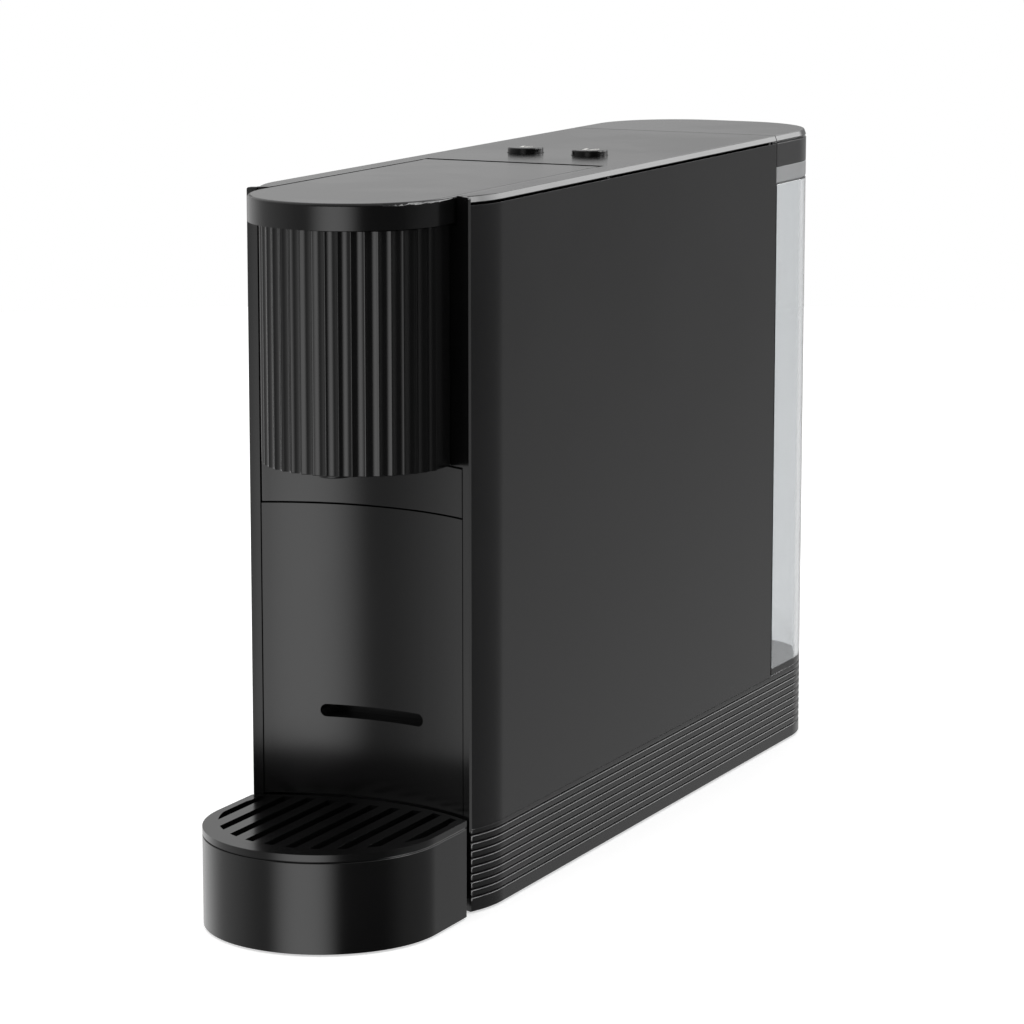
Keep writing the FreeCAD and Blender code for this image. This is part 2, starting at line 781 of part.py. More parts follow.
def build_inner_deck():
    front = prism(inset(drum_plan, S.drum_wall + S.clearance), deck_under_z, deck_z)
    wide = lid_half - S.clearance
    rear = block(both(wide), (bay_back_y + S.clearance, hinge_y - S.clearance), (deck_under_z, deck_z))
    join = block(both(deck_half), (drum_centre_y, bay_back_y + S.deck_thick), (deck_under_z, deck_z))
    slot = block(both(pod_slot_half), (pod_slot_front_y, pod_slot_rear_y), (deck_under_z, deck_z))
    fork_edge = fork_x - S.fork_thick / 2 - S.fork_gap
    swing = [block(span, (hinge_y - S.fork_reach - S.fork_gap, beyond), (deck_under_z, deck_z))
             for span in ((fork_edge, lid_half), (-lid_half, -fork_edge))]
    piece("inner_deck", cut(fuse(front, join, rear), slot, *swing))


# Brewing unit: fixed frame, cage and injector, and the carriage that moves with the lid

def needle_ring(count):
    """Places evenly round the brewing axis, for needles and holes."""
    turns = [2 * math.pi * index / count for index in range(count)]
    return [(S.needle_circle * math.sin(turn), brew_z + S.needle_circle * math.cos(turn)) for turn in turns]


def build_brewing():
    side_span = (cage_front_y - S.plate_gap, brew_rear_y + S.brew_wall)
    upright = (head_top_z, deck_under_z)
    bar_low = pin_z - S.bar_height / 2
    sides = [block(span, side_span, upright)
             for span in ((brew_half, bar_in - S.slide_gap), (S.slide_gap - bar_in, -brew_half))]
    ledges = [block(span, side_span, (bar_low - S.shell, bar_low))
              for span in ((brew_half, bar_out), (-bar_out, -brew_half))]
    back = block(both(brew_half), (brew_rear_y, brew_rear_y + S.brew_wall), upright)
    port = rod("y", (0, brew_z), S.stub_radius + S.fit_gap, (brew_rear_y, brew_rear_y + S.brew_wall))
    saddle_low = brew_z - S.pod_radius - S.cage_wall
    saddle = block(both(brew_half), (cage_front_y + S.cage_wall, cage_front_y + S.cage_depth),
                   (saddle_low - S.shell, saddle_low + S.saddle_rise))
    cage_room = rod("y", (0, brew_z), S.pod_radius + S.cage_wall,
                    (cage_front_y, cage_front_y + S.cage_depth))
    piece("brew_frame", cut(fuse(*sides, *ledges, back, saddle), port, cage_room))

    cage_span = (cage_front_y, cage_front_y + S.cage_depth)
    piece("pod_cage", cut(rod("y", (0, brew_z), S.pod_radius + S.cage_wall, cage_span),
                          rod("y", (0, brew_z), S.pod_radius, cage_span)))
    head_span = (cage_span[1], brew_rear_y)
    stub_span = (cage_span[1], injector_end_y)
    needles = [spike(spot, S.needle_radius, head_span[0], S.needle_length) for spot in needle_ring(NEEDLES)]
    piece("injector_head", fuse(rod("y", (0, brew_z), S.injector_radius, head_span),
                                rod("y", (0, brew_z), S.stub_radius, stub_span), *needles))

    plate_rear = cage_front_y - S.plate_gap
    plate_front = plate_rear - S.extraction_thick
    disc = rod("y", (0, brew_z), S.pod_radius + S.cage_wall, (plate_front, plate_rear))
    holes = [rod("y", spot, S.needle_radius, (plate_front, plate_rear))
             for spot in [(0, brew_z), *needle_ring(PLATE_HOLES)]]
    piece("extraction_plate", cut(disc, *holes))
    seal_y = plate_rear + S.seal_radius
    piece("pod_seal", ring("y", (0, brew_z), S.pod_radius + S.cage_wall / 2, S.seal_radius, seal_y))

    cross_span = (plate_front - S.crosspiece, plate_front)
    cross = block(both(bar_out), cross_span, (brew_z - S.crosspiece_drop, bar_low + S.bar_height))
    bars = [block(span, (cross_span[0], pin_y + S.bar_tail),
                  (bar_low, bar_low + S.bar_height))
            for span in ((bar_in, bar_out), (-bar_out, -bar_in))]
    outlet_end = funnel_rear_y - S.outlet_lap
    outlet = rod("y", (0, outlet_z), S.outlet_radius, (outlet_end, cross_span[1]))
    flow = rod("y", (0, outlet_z), S.outlet_radius / 2, (outlet_end, cross_span[0]))
    piece("brew_carriage", cut(fuse(cross, *bars, outlet), flow))
    pin_end = fork_x + S.fork_thick / 2 + S.clearance
    piece("drive_pins", group(*[rod("x", (pin_y, pin_z), S.drive_pin_radius, span)
                                for span in ((bar_out, pin_end), (-pin_end, -bar_out))]))


# Coffee funnel in the drum, and the spout under it

def build_spout():
    walls = cut(block(both(S.funnel_half), (funnel_front_y, funnel_rear_y), (head_top_z, funnel_top_z)),
                block(both(S.funnel_half - S.funnel_wall),
                      (funnel_front_y + S.funnel_wall, funnel_rear_y - S.funnel_wall),
                      (head_top_z + S.funnel_wall, funnel_top_z)))
    throat = rod("z", (0, spout_y), S.spout_neck + S.fit_gap, (0, head_top_z + S.funnel_wall))
    piece("coffee_funnel", cut(walls, throat))
    bottom = head_bottom - S.spout_drop
    tip = rod("z", (0, spout_y), S.spout_radius, (bottom, head_floor_z))
    neck = rod("z", (0, spout_y), S.spout_neck, (bottom, head_top_z + S.funnel_wall))
    bore = rod("z", (0, spout_y), S.spout_bore, (bottom, head_top_z + S.funnel_wall))
    piece("spout", cut(fuse(tip, neck), bore))


# Middle shelf, the bay for the pod bin, and the drawer that runs in it

def build_drawer():
    shelf = common(prism(inset(body_plan, S.shell + S.clearance), shelf_z, head_top_z),
                   block(both(half), (bay_back_y + S.clearance, rear_wall_y), (shelf_z, head_top_z)))
    drop = block(both(pod_slot_half), (pod_slot_front_y, pod_slot_rear_y), (shelf_z, head_top_z))
    riser = rod("z", (0, riser_y), S.hose_radius + S.clearance, (shelf_z, head_top_z))
    piece("middle_shelf", cut(shelf, drop, riser))

    front_y = bay_back_y + S.clearance
    floor = block(both(bin_bay_half), (front_y, bin_bay_rear_y), (roof_z, drawer_z))
    inner = bin_bay_half - S.bin_bay_wall
    sides = [block(span, (front_y, bin_bay_rear_y), (roof_z, shelf_z))
             for span in ((inner, bin_bay_half), (-bin_bay_half, -inner))]
    rear_y = bin_bay_rear_y
    back = block(both(bin_bay_half), (rear_y - S.bin_bay_wall, rear_y), (roof_z, shelf_z))
    piece("bin_bay", fuse(floor, *sides, back))

    grip_span = (bay_mid_y - S.bay_panel, bay_back_y + S.grip_depth)
    grip_end = S.grip_half - S.grip_height / 2
    grip_low = S.grip_z - S.grip_height / 2
    grip = fuse(block(both(grip_end), grip_span, (grip_low, grip_low + S.grip_height)),
                *[rod("y", (x, S.grip_z), S.grip_height / 2, grip_span) for x in both(grip_end)])
    front = sheet_of_bay(drawer_z, panel_seam_z - S.seam, panel_half)
    piece("drawer_front", cut(front, grip))

    behind = bay(S.bay_panel, 0, S.body_height)
    outer = cut(block(both(bin_half), (bay_centre_y, bin_rear_y), (drawer_z, bin_top_z)), behind)
    inside = block(both(bin_half - S.bin_wall), (bay_centre_y, bin_rear_y - S.bin_wall),
                   (drawer_z + S.bin_wall, bin_top_z))
    piece("pod_bin", cut(outer, inside))
    pocket = cut(block(both(S.grip_half + S.bin_wall),
                       (bay_mid_y - S.bay_panel, bay_back_y + S.grip_depth + S.bin_wall),
                       (grip_low - S.bin_wall, grip_low + S.grip_height + S.bin_wall)), behind)
    piece("grip_pocket", cut(pocket, grip))


# Drip tray that slides out at the front, with its lift-off slotted cover

def tray_form(low, high, wall=None):
    """The tray's outer form between two heights, or one drawn in by a wall: its rear nests in the bay."""
    plan = inset(tray_plan, wall) if wall else tray_plan
    return common(prism(plan, low, high), bay(-(S.tray_gap + (wall or 0)), low, high))


def build_tray():
    rim_z = tray_top - S.grid_thick
    tongues = [block((x - S.tongue_half, x + S.tongue_half), (tray_centre_y, tray_rear_y + S.tongue_length),
                     (S.tongue_z, S.tongue_z + S.tongue_thick))
               for x in both(S.tongue_x)]
    groove_z = rim_z - S.tray_groove
    neck = cut(tray_form(groove_z, rim_z, S.tray_groove), tray_form(groove_z, rim_z, S.tray_wall))
    tub = cut(fuse(tray_form(S.foot_height, groove_z), *tongues),
              tray_form(S.foot_height + S.tray_floor, groove_z, S.tray_wall))
    piece("drip_tray", fuse(tub, neck))
    spots = corners(tray_half - S.tray_foot_inset, tray_centre_y - S.tray_foot_span / 2,
                    tray_centre_y + S.tray_foot_span / 2)
    piece("tray_feet", group(*[rod("z", spot, S.tray_foot_radius, (0, S.foot_height)) for spot in spots]))

    lip_out = S.tray_wall + S.clearance
    lip = cut(tray_form(rim_z - S.grid_lip, rim_z, lip_out),
              tray_form(rim_z - S.grid_lip, rim_z, lip_out + S.lip_wall))
    arc_y = tray_centre_y + S.grid_arc_setback
    arc_radius = tray_half - S.grid_arc_inset
    pitch = (tray_half - S.grid_margin) * 2 / (GRID_SLOTS - 1)
    slots = []
    for index in range(GRID_SLOTS):
        x = pitch * (index - (GRID_SLOTS - 1) / 2)
        slots.append(block((x - S.grid_slot / 2, x + S.grid_slot / 2),
                           (arc_y - arc_radius, tray_rear_y - S.grid_slot_rear),
                           (rim_z - S.grid_lip, tray_top)))
    front_arc = fuse(rod("z", (0, arc_y), arc_radius, (0, S.body_height)),
                     block(both(tray_half - S.tray_wall - S.lip_wall),
                           (arc_y, tray_rear_y), (0, S.body_height)))
    within = tray_form(0, S.body_height, lip_out)
    piece("drip_grid", cut(fuse(tray_form(rim_z, tray_top), lip), common(fuse(*slots), front_arc, within)))


# Water tank with its collar, lid and valve, and the seat in the base

def build_tank():
    front_y = tank_seam_y + S.tank_gap
    zone = block(both(half), (front_y, S.rear_y), (0, S.body_height))

    def shaped(low, high):
        """The tank's outer form between two heights."""
        return common(prism(body_plan, low, high), zone)

    def core(low, high, wall):
        """The same form drawn in by a wall."""
        area = block(both(half), (front_y + wall, S.rear_y), (0, S.body_height))
        return common(prism(inset(body_plan, wall), low, high), area)

    floor_z = roof_z + S.tank_floor
    valve_hole = rod("z", (0, valve_y), S.valve_radius, (roof_z, floor_z))
    piece("tank_vessel", cut(shaped(roof_z, tank_top), core(floor_z, tank_top, S.tank_wall), valve_hole))

    groove_z = tank_top + S.collar_groove
    collar = fuse(core(tank_top, groove_z, S.collar_groove), shaped(groove_z, collar_top))
    piece("tank_collar", cut(collar, core(tank_top, collar_top, S.shell)))

    cap = common(fuse(prism(body_plan, collar_top, bevel_z), bevelled_slab()), zone)
    hollow = core(collar_top, S.body_height - S.shell - S.bevel_height, S.shell + S.clearance + S.lip_wall)
    lip_low = collar_top - S.lip_depth
    lip = cut(core(lip_low, collar_top, S.shell + S.clearance),
              core(lip_low, collar_top, S.shell + S.clearance + S.lip_wall))
    groove = prism(rim(body_plan, S.lid_groove), bevel_z - S.top_seam, bevel_z)
    piece("tank_lid", cut(fuse(cap, lip), hollow, groove))

    stem = rod("z", (0, valve_y), S.valve_radius, (roof_z - S.valve_drop, floor_z))
    flange = rod("z", (0, valve_y), S.valve_flange, (floor_z, floor_z + S.valve_flange_thick))
    way = rod("z", (0, valve_y), S.valve_bore, (0, S.body_height))
    piece("tank_valve", cut(fuse(stem, flange), way))

    seat_low = roof_z - S.seat_depth
    seat = cut(rod("z", (0, valve_y), S.seat_radius, (seat_low, roof_z)),
               rod("z", (0, valve_y), S.valve_radius + S.seat_gap, (seat_low + S.seat_floor, roof_z)))
    port = rod("y", (0, tank_port_z), S.hose_radius, (valve_y - S.seat_radius, valve_y))
    legs = rod("z", (0, valve_y), S.valve_radius, (plate_z, seat_low))
    piece("tank_seat", cut(fuse(seat, legs), port))
    section = (S.seat_gap - S.clearance) / 2
    piece("seat_seal", ring("z", (0, valve_y), S.valve_radius + S.seat_gap - section, section,
                            roof_z - S.valve_drop / 2))


# Buttons with the board and switches under them

def build_controls():
    top = S.body_height + S.button_proud
    flange_top = bevel_z - S.clearance
    for name, x in (("left_button", -S.button_x), ("right_button", S.button_x)):
        cap = rod("z", (x, button_y), S.button_radius, (flange_top - S.button_flange_thick, top))
        flange = rod("z", (x, button_y), S.button_radius + S.button_flange,
                     (flange_top - S.button_flange_thick, flange_top))
        stem = rod("z", (x, button_y), S.button_stem, (stem_z, flange_top))
        piece(name, fuse(cap, flange, stem))
    piece("control_board", block(both(S.board_half), (board_front_y, board_rear_y),
                                 (board_z, board_z + S.board_thick)))
    low = board_z + S.board_thick
    piece("switches", group(*[
        block((x - S.switch_half, x + S.switch_half),
              (button_y - S.switch_half, button_y + S.switch_half), (low, low + S.switch_height))
        for x in both(S.button_x)]))


# Water circuit: flow meter, pump, heater and the hoses between them

def build_circuit():
    coil_low = pump_z - S.coil_height / 2
    coil_rear = coil_front_y + S.coil_length
    piece("pump", fuse(
        block(both(S.coil_half), (coil_front_y, coil_rear), (coil_low, coil_low + S.coil_height)),
        rod("y", (0, pump_z), S.pump_radius, (pump_front_y, pump_rear_y)),
        rod("y", (0, pump_z), S.stub_radius, (pump_front_y - S.stub_length, pump_rear_y + S.stub_length))))
    starts = (coil_front_y + S.mount_inset, coil_rear - S.mount_inset - S.mount_length)
    piece("pump_mounts", group(*[block(both(S.coil_half), (y, y + S.mount_length), (roof_z, coil_low))
                                 for y in starts]))
    meter_top = roof_z + S.meter_height
    piece("flow_meter", rod("z", (0, meter_y), S.meter_radius, (roof_z, meter_top)))

    block_top = head_top_z + S.block_height
    block_rear = block_front_y + S.block_length
    piece("heater_block", block(both(S.block_half), (block_front_y, block_rear), (head_top_z, block_top)))
    middle = (block_front_y + block_rear) / 2
    piece("thermostat", rod("z", (0, middle), S.thermostat_radius,
                            (block_top, block_top + S.thermostat_height)))

    seat_y = valve_y - S.seat_radius
    front_stub = pump_front_y - S.stub_length
    rear_stub = pump_rear_y + S.stub_length
    routes = {
        "tank_hose": [(seat_y, tank_port_z), (meter_y, tank_port_z), (meter_y, roof_z)],
        "meter_hose": [(meter_y, meter_top), (meter_y, pump_z), (rear_stub, pump_z)],
        "pressure_hose": [(front_stub, pump_z), (riser_y, pump_z), (riser_y, head_top_z)],
        "brew_hose": [(riser_y, block_top), (riser_y, brew_z), (injector_end_y, brew_z)],
    }
    for node, route in routes.items():
        points = [Vector(0, y.number, z.number) for y, z in route]
        piece(node, hose(points, S.hose_radius.number, S.hose_bend.number))


build_base()
build_covers()
build_front_frame()
build_drum()
build_lid()
build_inner_deck()
build_brewing()
build_spout()
build_drawer()
build_tray()
build_tank()
build_controls()
build_circuit()
doc.recompute()

# Nothing is written unless every object and every piece is sound

failed = [thing.Name for thing in doc.Objects if {"Invalid", "Error"} & set(thing.State)]
unsound = [node for node, solid in pieces.items() if solid.Shape.isNull() or not solid.Shape.isValid()]
if failed or unsound:
    raise RuntimeError(f"failed objects {failed}, unsound pieces {unsound}")

os.makedirs("parts", exist_ok=True)
for node, solid in pieces.items():
    solid.Shape.exportStep(f"parts/{node}.step")
    print(f"{node}: {len(solid.Shape.Solids)} solid(s), {solid.Shape.Volume / 1000:.1f} cm3")
ratio = S.carriage_travel.number / 1000 / math.radians(LID_SWING)
print(f"hinge at y {hinge_y.number:.2f}, z {hinge_z.number:.2f}; carriage {ratio:.6f} m per radian")
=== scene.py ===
"""Looks of a slim pod coffee machine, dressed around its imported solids.

Meshes are in metres and in the solids' own frame: +Z up, front towards -Y, origin on the table under the
middle of the machine. Sizes held by the classes are in millimetres, apart from those of the lamps, the floor
and the camera's range, which are in metres.
"""

import json
import logging
import math
from dataclasses import dataclass
from enum import Enum
from functools import cache
from typing import Any, Iterable, Mapping, Sequence

import bmesh
import bpy
from bmesh.types import BMEdge, BMesh
from bpy.types import ID, Material, Mesh, Node, NodeInputs, NodeOutputs, NodeSocket, NodeTree, Object, World
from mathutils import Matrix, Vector

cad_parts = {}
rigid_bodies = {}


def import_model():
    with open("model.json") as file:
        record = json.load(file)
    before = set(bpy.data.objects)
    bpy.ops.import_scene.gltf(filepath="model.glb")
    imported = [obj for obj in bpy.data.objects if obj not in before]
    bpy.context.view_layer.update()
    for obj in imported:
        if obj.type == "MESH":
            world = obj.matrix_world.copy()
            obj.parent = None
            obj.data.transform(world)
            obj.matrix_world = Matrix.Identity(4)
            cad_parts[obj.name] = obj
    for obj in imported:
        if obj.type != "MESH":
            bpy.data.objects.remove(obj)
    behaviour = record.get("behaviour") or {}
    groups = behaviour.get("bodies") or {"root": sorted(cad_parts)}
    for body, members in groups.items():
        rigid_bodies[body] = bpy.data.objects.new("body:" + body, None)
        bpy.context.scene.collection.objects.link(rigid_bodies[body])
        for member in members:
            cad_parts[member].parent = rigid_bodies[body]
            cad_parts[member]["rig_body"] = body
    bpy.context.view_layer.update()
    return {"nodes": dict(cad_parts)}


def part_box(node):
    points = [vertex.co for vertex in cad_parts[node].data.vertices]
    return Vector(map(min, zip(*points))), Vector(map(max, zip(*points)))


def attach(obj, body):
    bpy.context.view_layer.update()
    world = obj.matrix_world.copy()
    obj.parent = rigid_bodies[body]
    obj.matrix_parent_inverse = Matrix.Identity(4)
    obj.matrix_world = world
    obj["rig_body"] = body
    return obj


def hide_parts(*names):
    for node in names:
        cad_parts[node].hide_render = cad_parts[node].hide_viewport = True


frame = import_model()

log = logging.getLogger("pod_coffee_machine")

MM = 0.001
# Corners nearer than this, in metres, are one, and faces smaller than this, in square metres, are none.
WELD = 1e-6
SLIVER_AREA = 1e-9
# Faces that meet at less than the first angle are one face, and edges past the second are creases.
FLAT_ANGLE = math.radians(0.4)
CREASE_ANGLE = math.radians(32.0)
# The attribute that marks rounded edges for the finishes.
EDGE = "edge"
# How far up a leaning face points, from least to most, and the steps across its rounded rim.
LEAN = (0.15, 0.75)
RIM_STEPS = 5
# The sides of a turned form, and how far in millimetres a cut starts outside the face that it goes into.
ROUND_SIDES = 64
CUT_PAST = 1.0
# Each grip ring under a foot, as shares of the radius where it starts, is down, is still down and ends.
GRIP_RINGS = ((0.30, 0.34, 0.60, 0.64), (0.72, 0.76, 0.95, 1.0))
GRIP_DEPTH = 0.4
# The Mix node's sockets share their names, so they are taken by number.
MIX_SHARE = 0
MIX_VALUES = (2, 3)
MIX_COLOURS = (6, 7)
MIXED_COLOUR = 2
# A mask from empty to full.
FULL = (0.0, 1.0)
FLOAT = "NodeSocketFloat"
VECTOR = "NodeSocketVector"

Colour = tuple[float, float, float]
Point = tuple[float, float]
Place = tuple[float, float, float]


class Slot(Enum):
    """The record's material slots, passed along with the made pieces."""

    CHARCOAL = "charcoal_plastic"
    DARK = "dark_plastic"
    GLOSS = "button_gloss"
    CLEAR = "clear_tank"
    COLLAR = "collar_grey"
    SPOUT = "spout_black"
    INNER = "inner_plastic"
    RUBBER = "soft_rubber"
    STEEL = "steel"


class Wiring:
    """Places nodes in one tree and joins their sockets."""

    def __init__(self, tree: NodeTree) -> None:
        """Work on one tree."""
        self.tree = tree

    def add(self, kind: str, joins: Mapping[Any, Any] | None = None, **settings: Any) -> Node:
        """Place a node.

        Args:
            kind: The node's type name.
            joins: Input sockets by name or number, each with a value or the socket that feeds it.
            **settings: Properties of the node itself.

        Returns:
            The new node.
        """
        node = self.tree.nodes.new(kind)
        for name, value in settings.items():
            setattr(node, name, value)
        for socket, value in (joins or {}).items():
            if isinstance(value, NodeSocket):
                self.tree.links.new(value, node.inputs[socket])
            else:
                node.inputs[socket].default_value = value
        return node

    def join(self, source: NodeSocket, target: NodeSocket) -> None:
        """Feed one socket from another."""
        self.tree.links.new(source, target)

    def maths(self, operation: str, *terms: Any) -> NodeSocket:
        """The result of one sum on values or sockets."""
        return self.add("ShaderNodeMath", dict(enumerate(terms)), operation=operation).outputs[0]

    def spread(self, value: NodeSocket, source: Point, target: Point, soft: bool = True) -> NodeSocket:
        """Carry a value from one span to another.

        Args:
            value: What is carried.
            source: The span it comes from.
            target: The span it goes to.
            soft: Whether the ends ease in and out.

        Returns:
            The socket with the result.
        """
        sockets = {"Value": value, "From Min": source[0], "From Max": source[1],
                   "To Min": target[0], "To Max": target[1]}
        kind = "SMOOTHSTEP" if soft else "LINEAR"
        return self.add("ShaderNodeMapRange", sockets, interpolation_type=kind).outputs["Result"]

    def blend(self, share: NodeSocket, first: Any, second: Any) -> NodeSocket:
        """Mix two colours by a share.

        Args:
            share: How much of the second colour shows.
            first: A colour, or the socket that gives it.
            second: A colour, or the socket that gives it.

        Returns:
            The socket with the mixed colour.
        """
        ends = [colour if isinstance(colour, NodeSocket) else (*colour, 1.0) for colour in (first, second)]
        joins = {MIX_SHARE: share, **dict(zip(MIX_COLOURS, ends))}
        return self.add("ShaderNodeMix", joins, data_type="RGBA").outputs[MIXED_COLOUR]

    def noise(self, vector: NodeSocket, scale: NodeSocket, detail: float,
              roughness: float = 0.5) -> NodeSocket:
        """The value of a noise pattern."""
        joins = {"Vector": vector, "Scale": scale, "Detail": detail, "Roughness": roughness}
        return self.add("ShaderNodeTexNoise", joins).outputs["Fac"]

    def group(self, tree: NodeTree, joins: Mapping[str, Any]) -> NodeOutputs:
        """Place a shader group, with its inputs by name, and give its outputs."""
        return self.add("ShaderNodeGroup", joins, node_tree=tree).outputs


def cleared(owner: Material | World) -> Wiring:
    """Empty the nodes of a material or a world.

    Args:
        owner: The material or the world.

    Returns:
        Its wiring.
    """
    owner.use_nodes = True
    owner.node_tree.nodes.clear()
    return Wiring(owner.node_tree)


def placed(name: str, data: ID) -> Object:
    """Put a new object into the scene.

    Args:
        name: The object's name.
        data: Its mesh, light or camera.

    Returns:
        The object.
    """
    item = bpy.data.objects.new(name, data)
    bpy.context.scene.collection.objects.link(item)
    return item


def new_tree(name: str, kind: str, inputs: Mapping[str, str],
             outputs: Mapping[str, str]) -> tuple[Wiring, NodeOutputs, NodeInputs]:
    """Start a node group with named sockets.

    Args:
        name: The group's name.
        kind: "ShaderNodeTree" or "GeometryNodeTree".
        inputs: Input names with their socket types.
        outputs: Output names with their socket types.

    Returns:
        The wiring of the group, what its inputs give, and what its outputs take.
    """
    tree = bpy.data.node_groups.new(name, kind)
    for way, sockets in (("INPUT", inputs), ("OUTPUT", outputs)):
        for socket, socket_type in sockets.items():
            tree.interface.new_socket(name=socket, in_out=way, socket_type=socket_type)
    wiring = Wiring(tree)
    return wiring, wiring.add("NodeGroupInput").outputs, wiring.add("NodeGroupOutput").inputs


class SurfaceEffects:
    """Shader groups that several finishes share, each built once."""

    NOISE_MIDDLE = (0.3, 0.7)
    RUB_NOISE = (0.35, 0.65)
    RUB_SHARE = (0.25, 1.0)
    LINE_STRETCH = (0.03, 1.0, 1.0)

    @staticmethod
    @cache
    def mould_grain() -> NodeTree:
        """Fine grain of a spark-eroded mould with broad, faint patches.

        Returns:
            A group that puts out the grain's height and the patches as a mask.
        """
        wiring, given, taken = new_tree("mould_grain", "ShaderNodeTree",
                                        {"Vector": VECTOR, "Grain Scale": FLOAT, "Patch Scale": FLOAT},
                                        {"Height": FLOAT, "Patch": FLOAT})
        grain = wiring.noise(given["Vector"], given["Grain Scale"], detail=2.0, roughness=0.6)
        patch = wiring.noise(given["Vector"], given["Patch Scale"], detail=4.0, roughness=0.55)
        wiring.join(grain, taken["Height"])
        wiring.join(wiring.spread(patch, SurfaceEffects.NOISE_MIDDLE, FULL), taken["Patch"])
        return wiring.tree

    @staticmethod
    @cache
    def edge_rub() -> NodeTree:
        """Handled edges, rubbed in an uneven line.

        Returns:
            A group that puts out the rubbed places as a mask.
        """
        wiring, given, taken = new_tree("edge_rub", "ShaderNodeTree",
                                        {"Vector": VECTOR, "Edge": FLOAT, "Scale": FLOAT},
                                        {"Mask": FLOAT})
        noise = wiring.noise(given["Vector"], given["Scale"], detail=3.0)
        uneven = wiring.spread(noise, SurfaceEffects.RUB_NOISE, SurfaceEffects.RUB_SHARE)
        wiring.join(wiring.maths("MULTIPLY", uneven, given["Edge"]), taken["Mask"])
        return wiring.tree

    @staticmethod
    @cache
    def drawn_lines() -> NodeTree:
        """Fine lines left by drawing or turning metal, along X.

        Returns:
            A group that puts out the lines as a tone and as a height.
        """
        wiring, given, taken = new_tree("drawn_lines", "ShaderNodeTree",
                                        {"Vector": VECTOR, "Scale": FLOAT}, {"Tone": FLOAT, "Height": FLOAT})
        stretched = wiring.add("ShaderNodeMapping", {"Vector": given["Vector"],
                                                     "Scale": SurfaceEffects.LINE_STRETCH})
        noise = wiring.noise(stretched.outputs[0], given["Scale"], detail=3.0)
        wiring.join(wiring.spread(noise, SurfaceEffects.NOISE_MIDDLE, FULL), taken["Tone"])
        wiring.join(noise, taken["Height"])
        return wiring.tree


def shaded(colour: Colour, factor: float) -> Colour:
    """A colour made lighter or darker by a factor."""
    return tuple(min(1.0, part * factor) for part in colour)


def per_metre(size: float) -> float:
    """How often a pattern of a size in millimetres comes in a metre."""
    return 1 / (size * MM)


@dataclass(frozen=True)
class Finish:
    """A surface finish that is made once as a material."""

    name: str
    colour: Colour
    roughness: float

    @cache
    def material(self) -> Material:
        """Build the finish at its first use.

        Returns:
            The finish as a material.
        """
        made = bpy.data.materials.new(self.name)
        wiring = cleared(made)
        shader = wiring.add("ShaderNodeBsdfPrincipled")
        wiring.add("ShaderNodeOutputMaterial", {"Surface": shader.outputs[0]})
        self.wire(wiring, shader, wiring.add("ShaderNodeTexCoord").outputs["Object"])
        return made

    def wire(self, wiring: Wiring, shader: Node, spot: NodeSocket) -> None:
        """Feed the shader; each kind of finish does it in its own way."""
        raise NotImplementedError

    def feed(self, wiring: Wiring, shader: Node, colour: NodeSocket, mask: NodeSocket, gloss: Point,
             height: NodeSocket, depth: float) -> None:
        """Feed what changes over the surface.

        Args:
            wiring: The material's wiring.
            shader: Its shader node.
            colour: The colour.
            mask: The mask that the roughness follows.
            gloss: The roughness where the mask is empty and where it is full.
            height: The height of the relief.
            depth: How deep the relief is, in millimetres.
        """
        wiring.join(colour, shader.inputs["Base Color"])
        wiring.join(wiring.spread(mask, FULL, gloss), shader.inputs["Roughness"])
        bump = wiring.add("ShaderNodeBump", {"Height": height, "Strength": 1.0, "Distance": depth * MM})
        wiring.join(bump.outputs[0], shader.inputs["Normal"])


@dataclass(frozen=True)
class MouldedPlastic(Finish):
    """Opaque moulded plastic or rubber: fine grain, faint patches and rubbed edges."""

    specular: float = 0.5
    grain_size: float = 0.5
    grain_depth: float = 0.004
    patch_size: float = 60.0
    patch_change: float = 0.08
    roughness_change: float = 0.012
    edge_lift: float = 1.6
    edge_size: float = 6.0

    def wire(self, wiring: Wiring, shader: Node, spot: NodeSocket) -> None:
        """Feed colour, roughness and grain.

        Args:
            wiring: The material's wiring.
            shader: Its shader node.
            spot: The place on the piece.
        """
        grain = wiring.group(SurfaceEffects.mould_grain(), {
            "Vector": spot, "Grain Scale": per_metre(self.grain_size),
            "Patch Scale": per_metre(self.patch_size)})
        edge = wiring.add("ShaderNodeAttribute", attribute_name=EDGE).outputs["Fac"]
        rub = wiring.group(SurfaceEffects.edge_rub(), {
            "Vector": spot, "Edge": edge, "Scale": per_metre(self.edge_size)})
        tone = wiring.blend(grain["Patch"], shaded(self.colour, 1 - self.patch_change),
                            shaded(self.colour, 1 + self.patch_change))
        rubbed = wiring.blend(rub["Mask"], tone, shaded(self.colour, self.edge_lift))
        gloss = (self.roughness - self.roughness_change, self.roughness + self.roughness_change)
        self.feed(wiring, shader, rubbed, grain["Patch"], gloss, grain["Height"], self.grain_depth)
        shader.inputs["Specular IOR Level"].default_value = self.specular


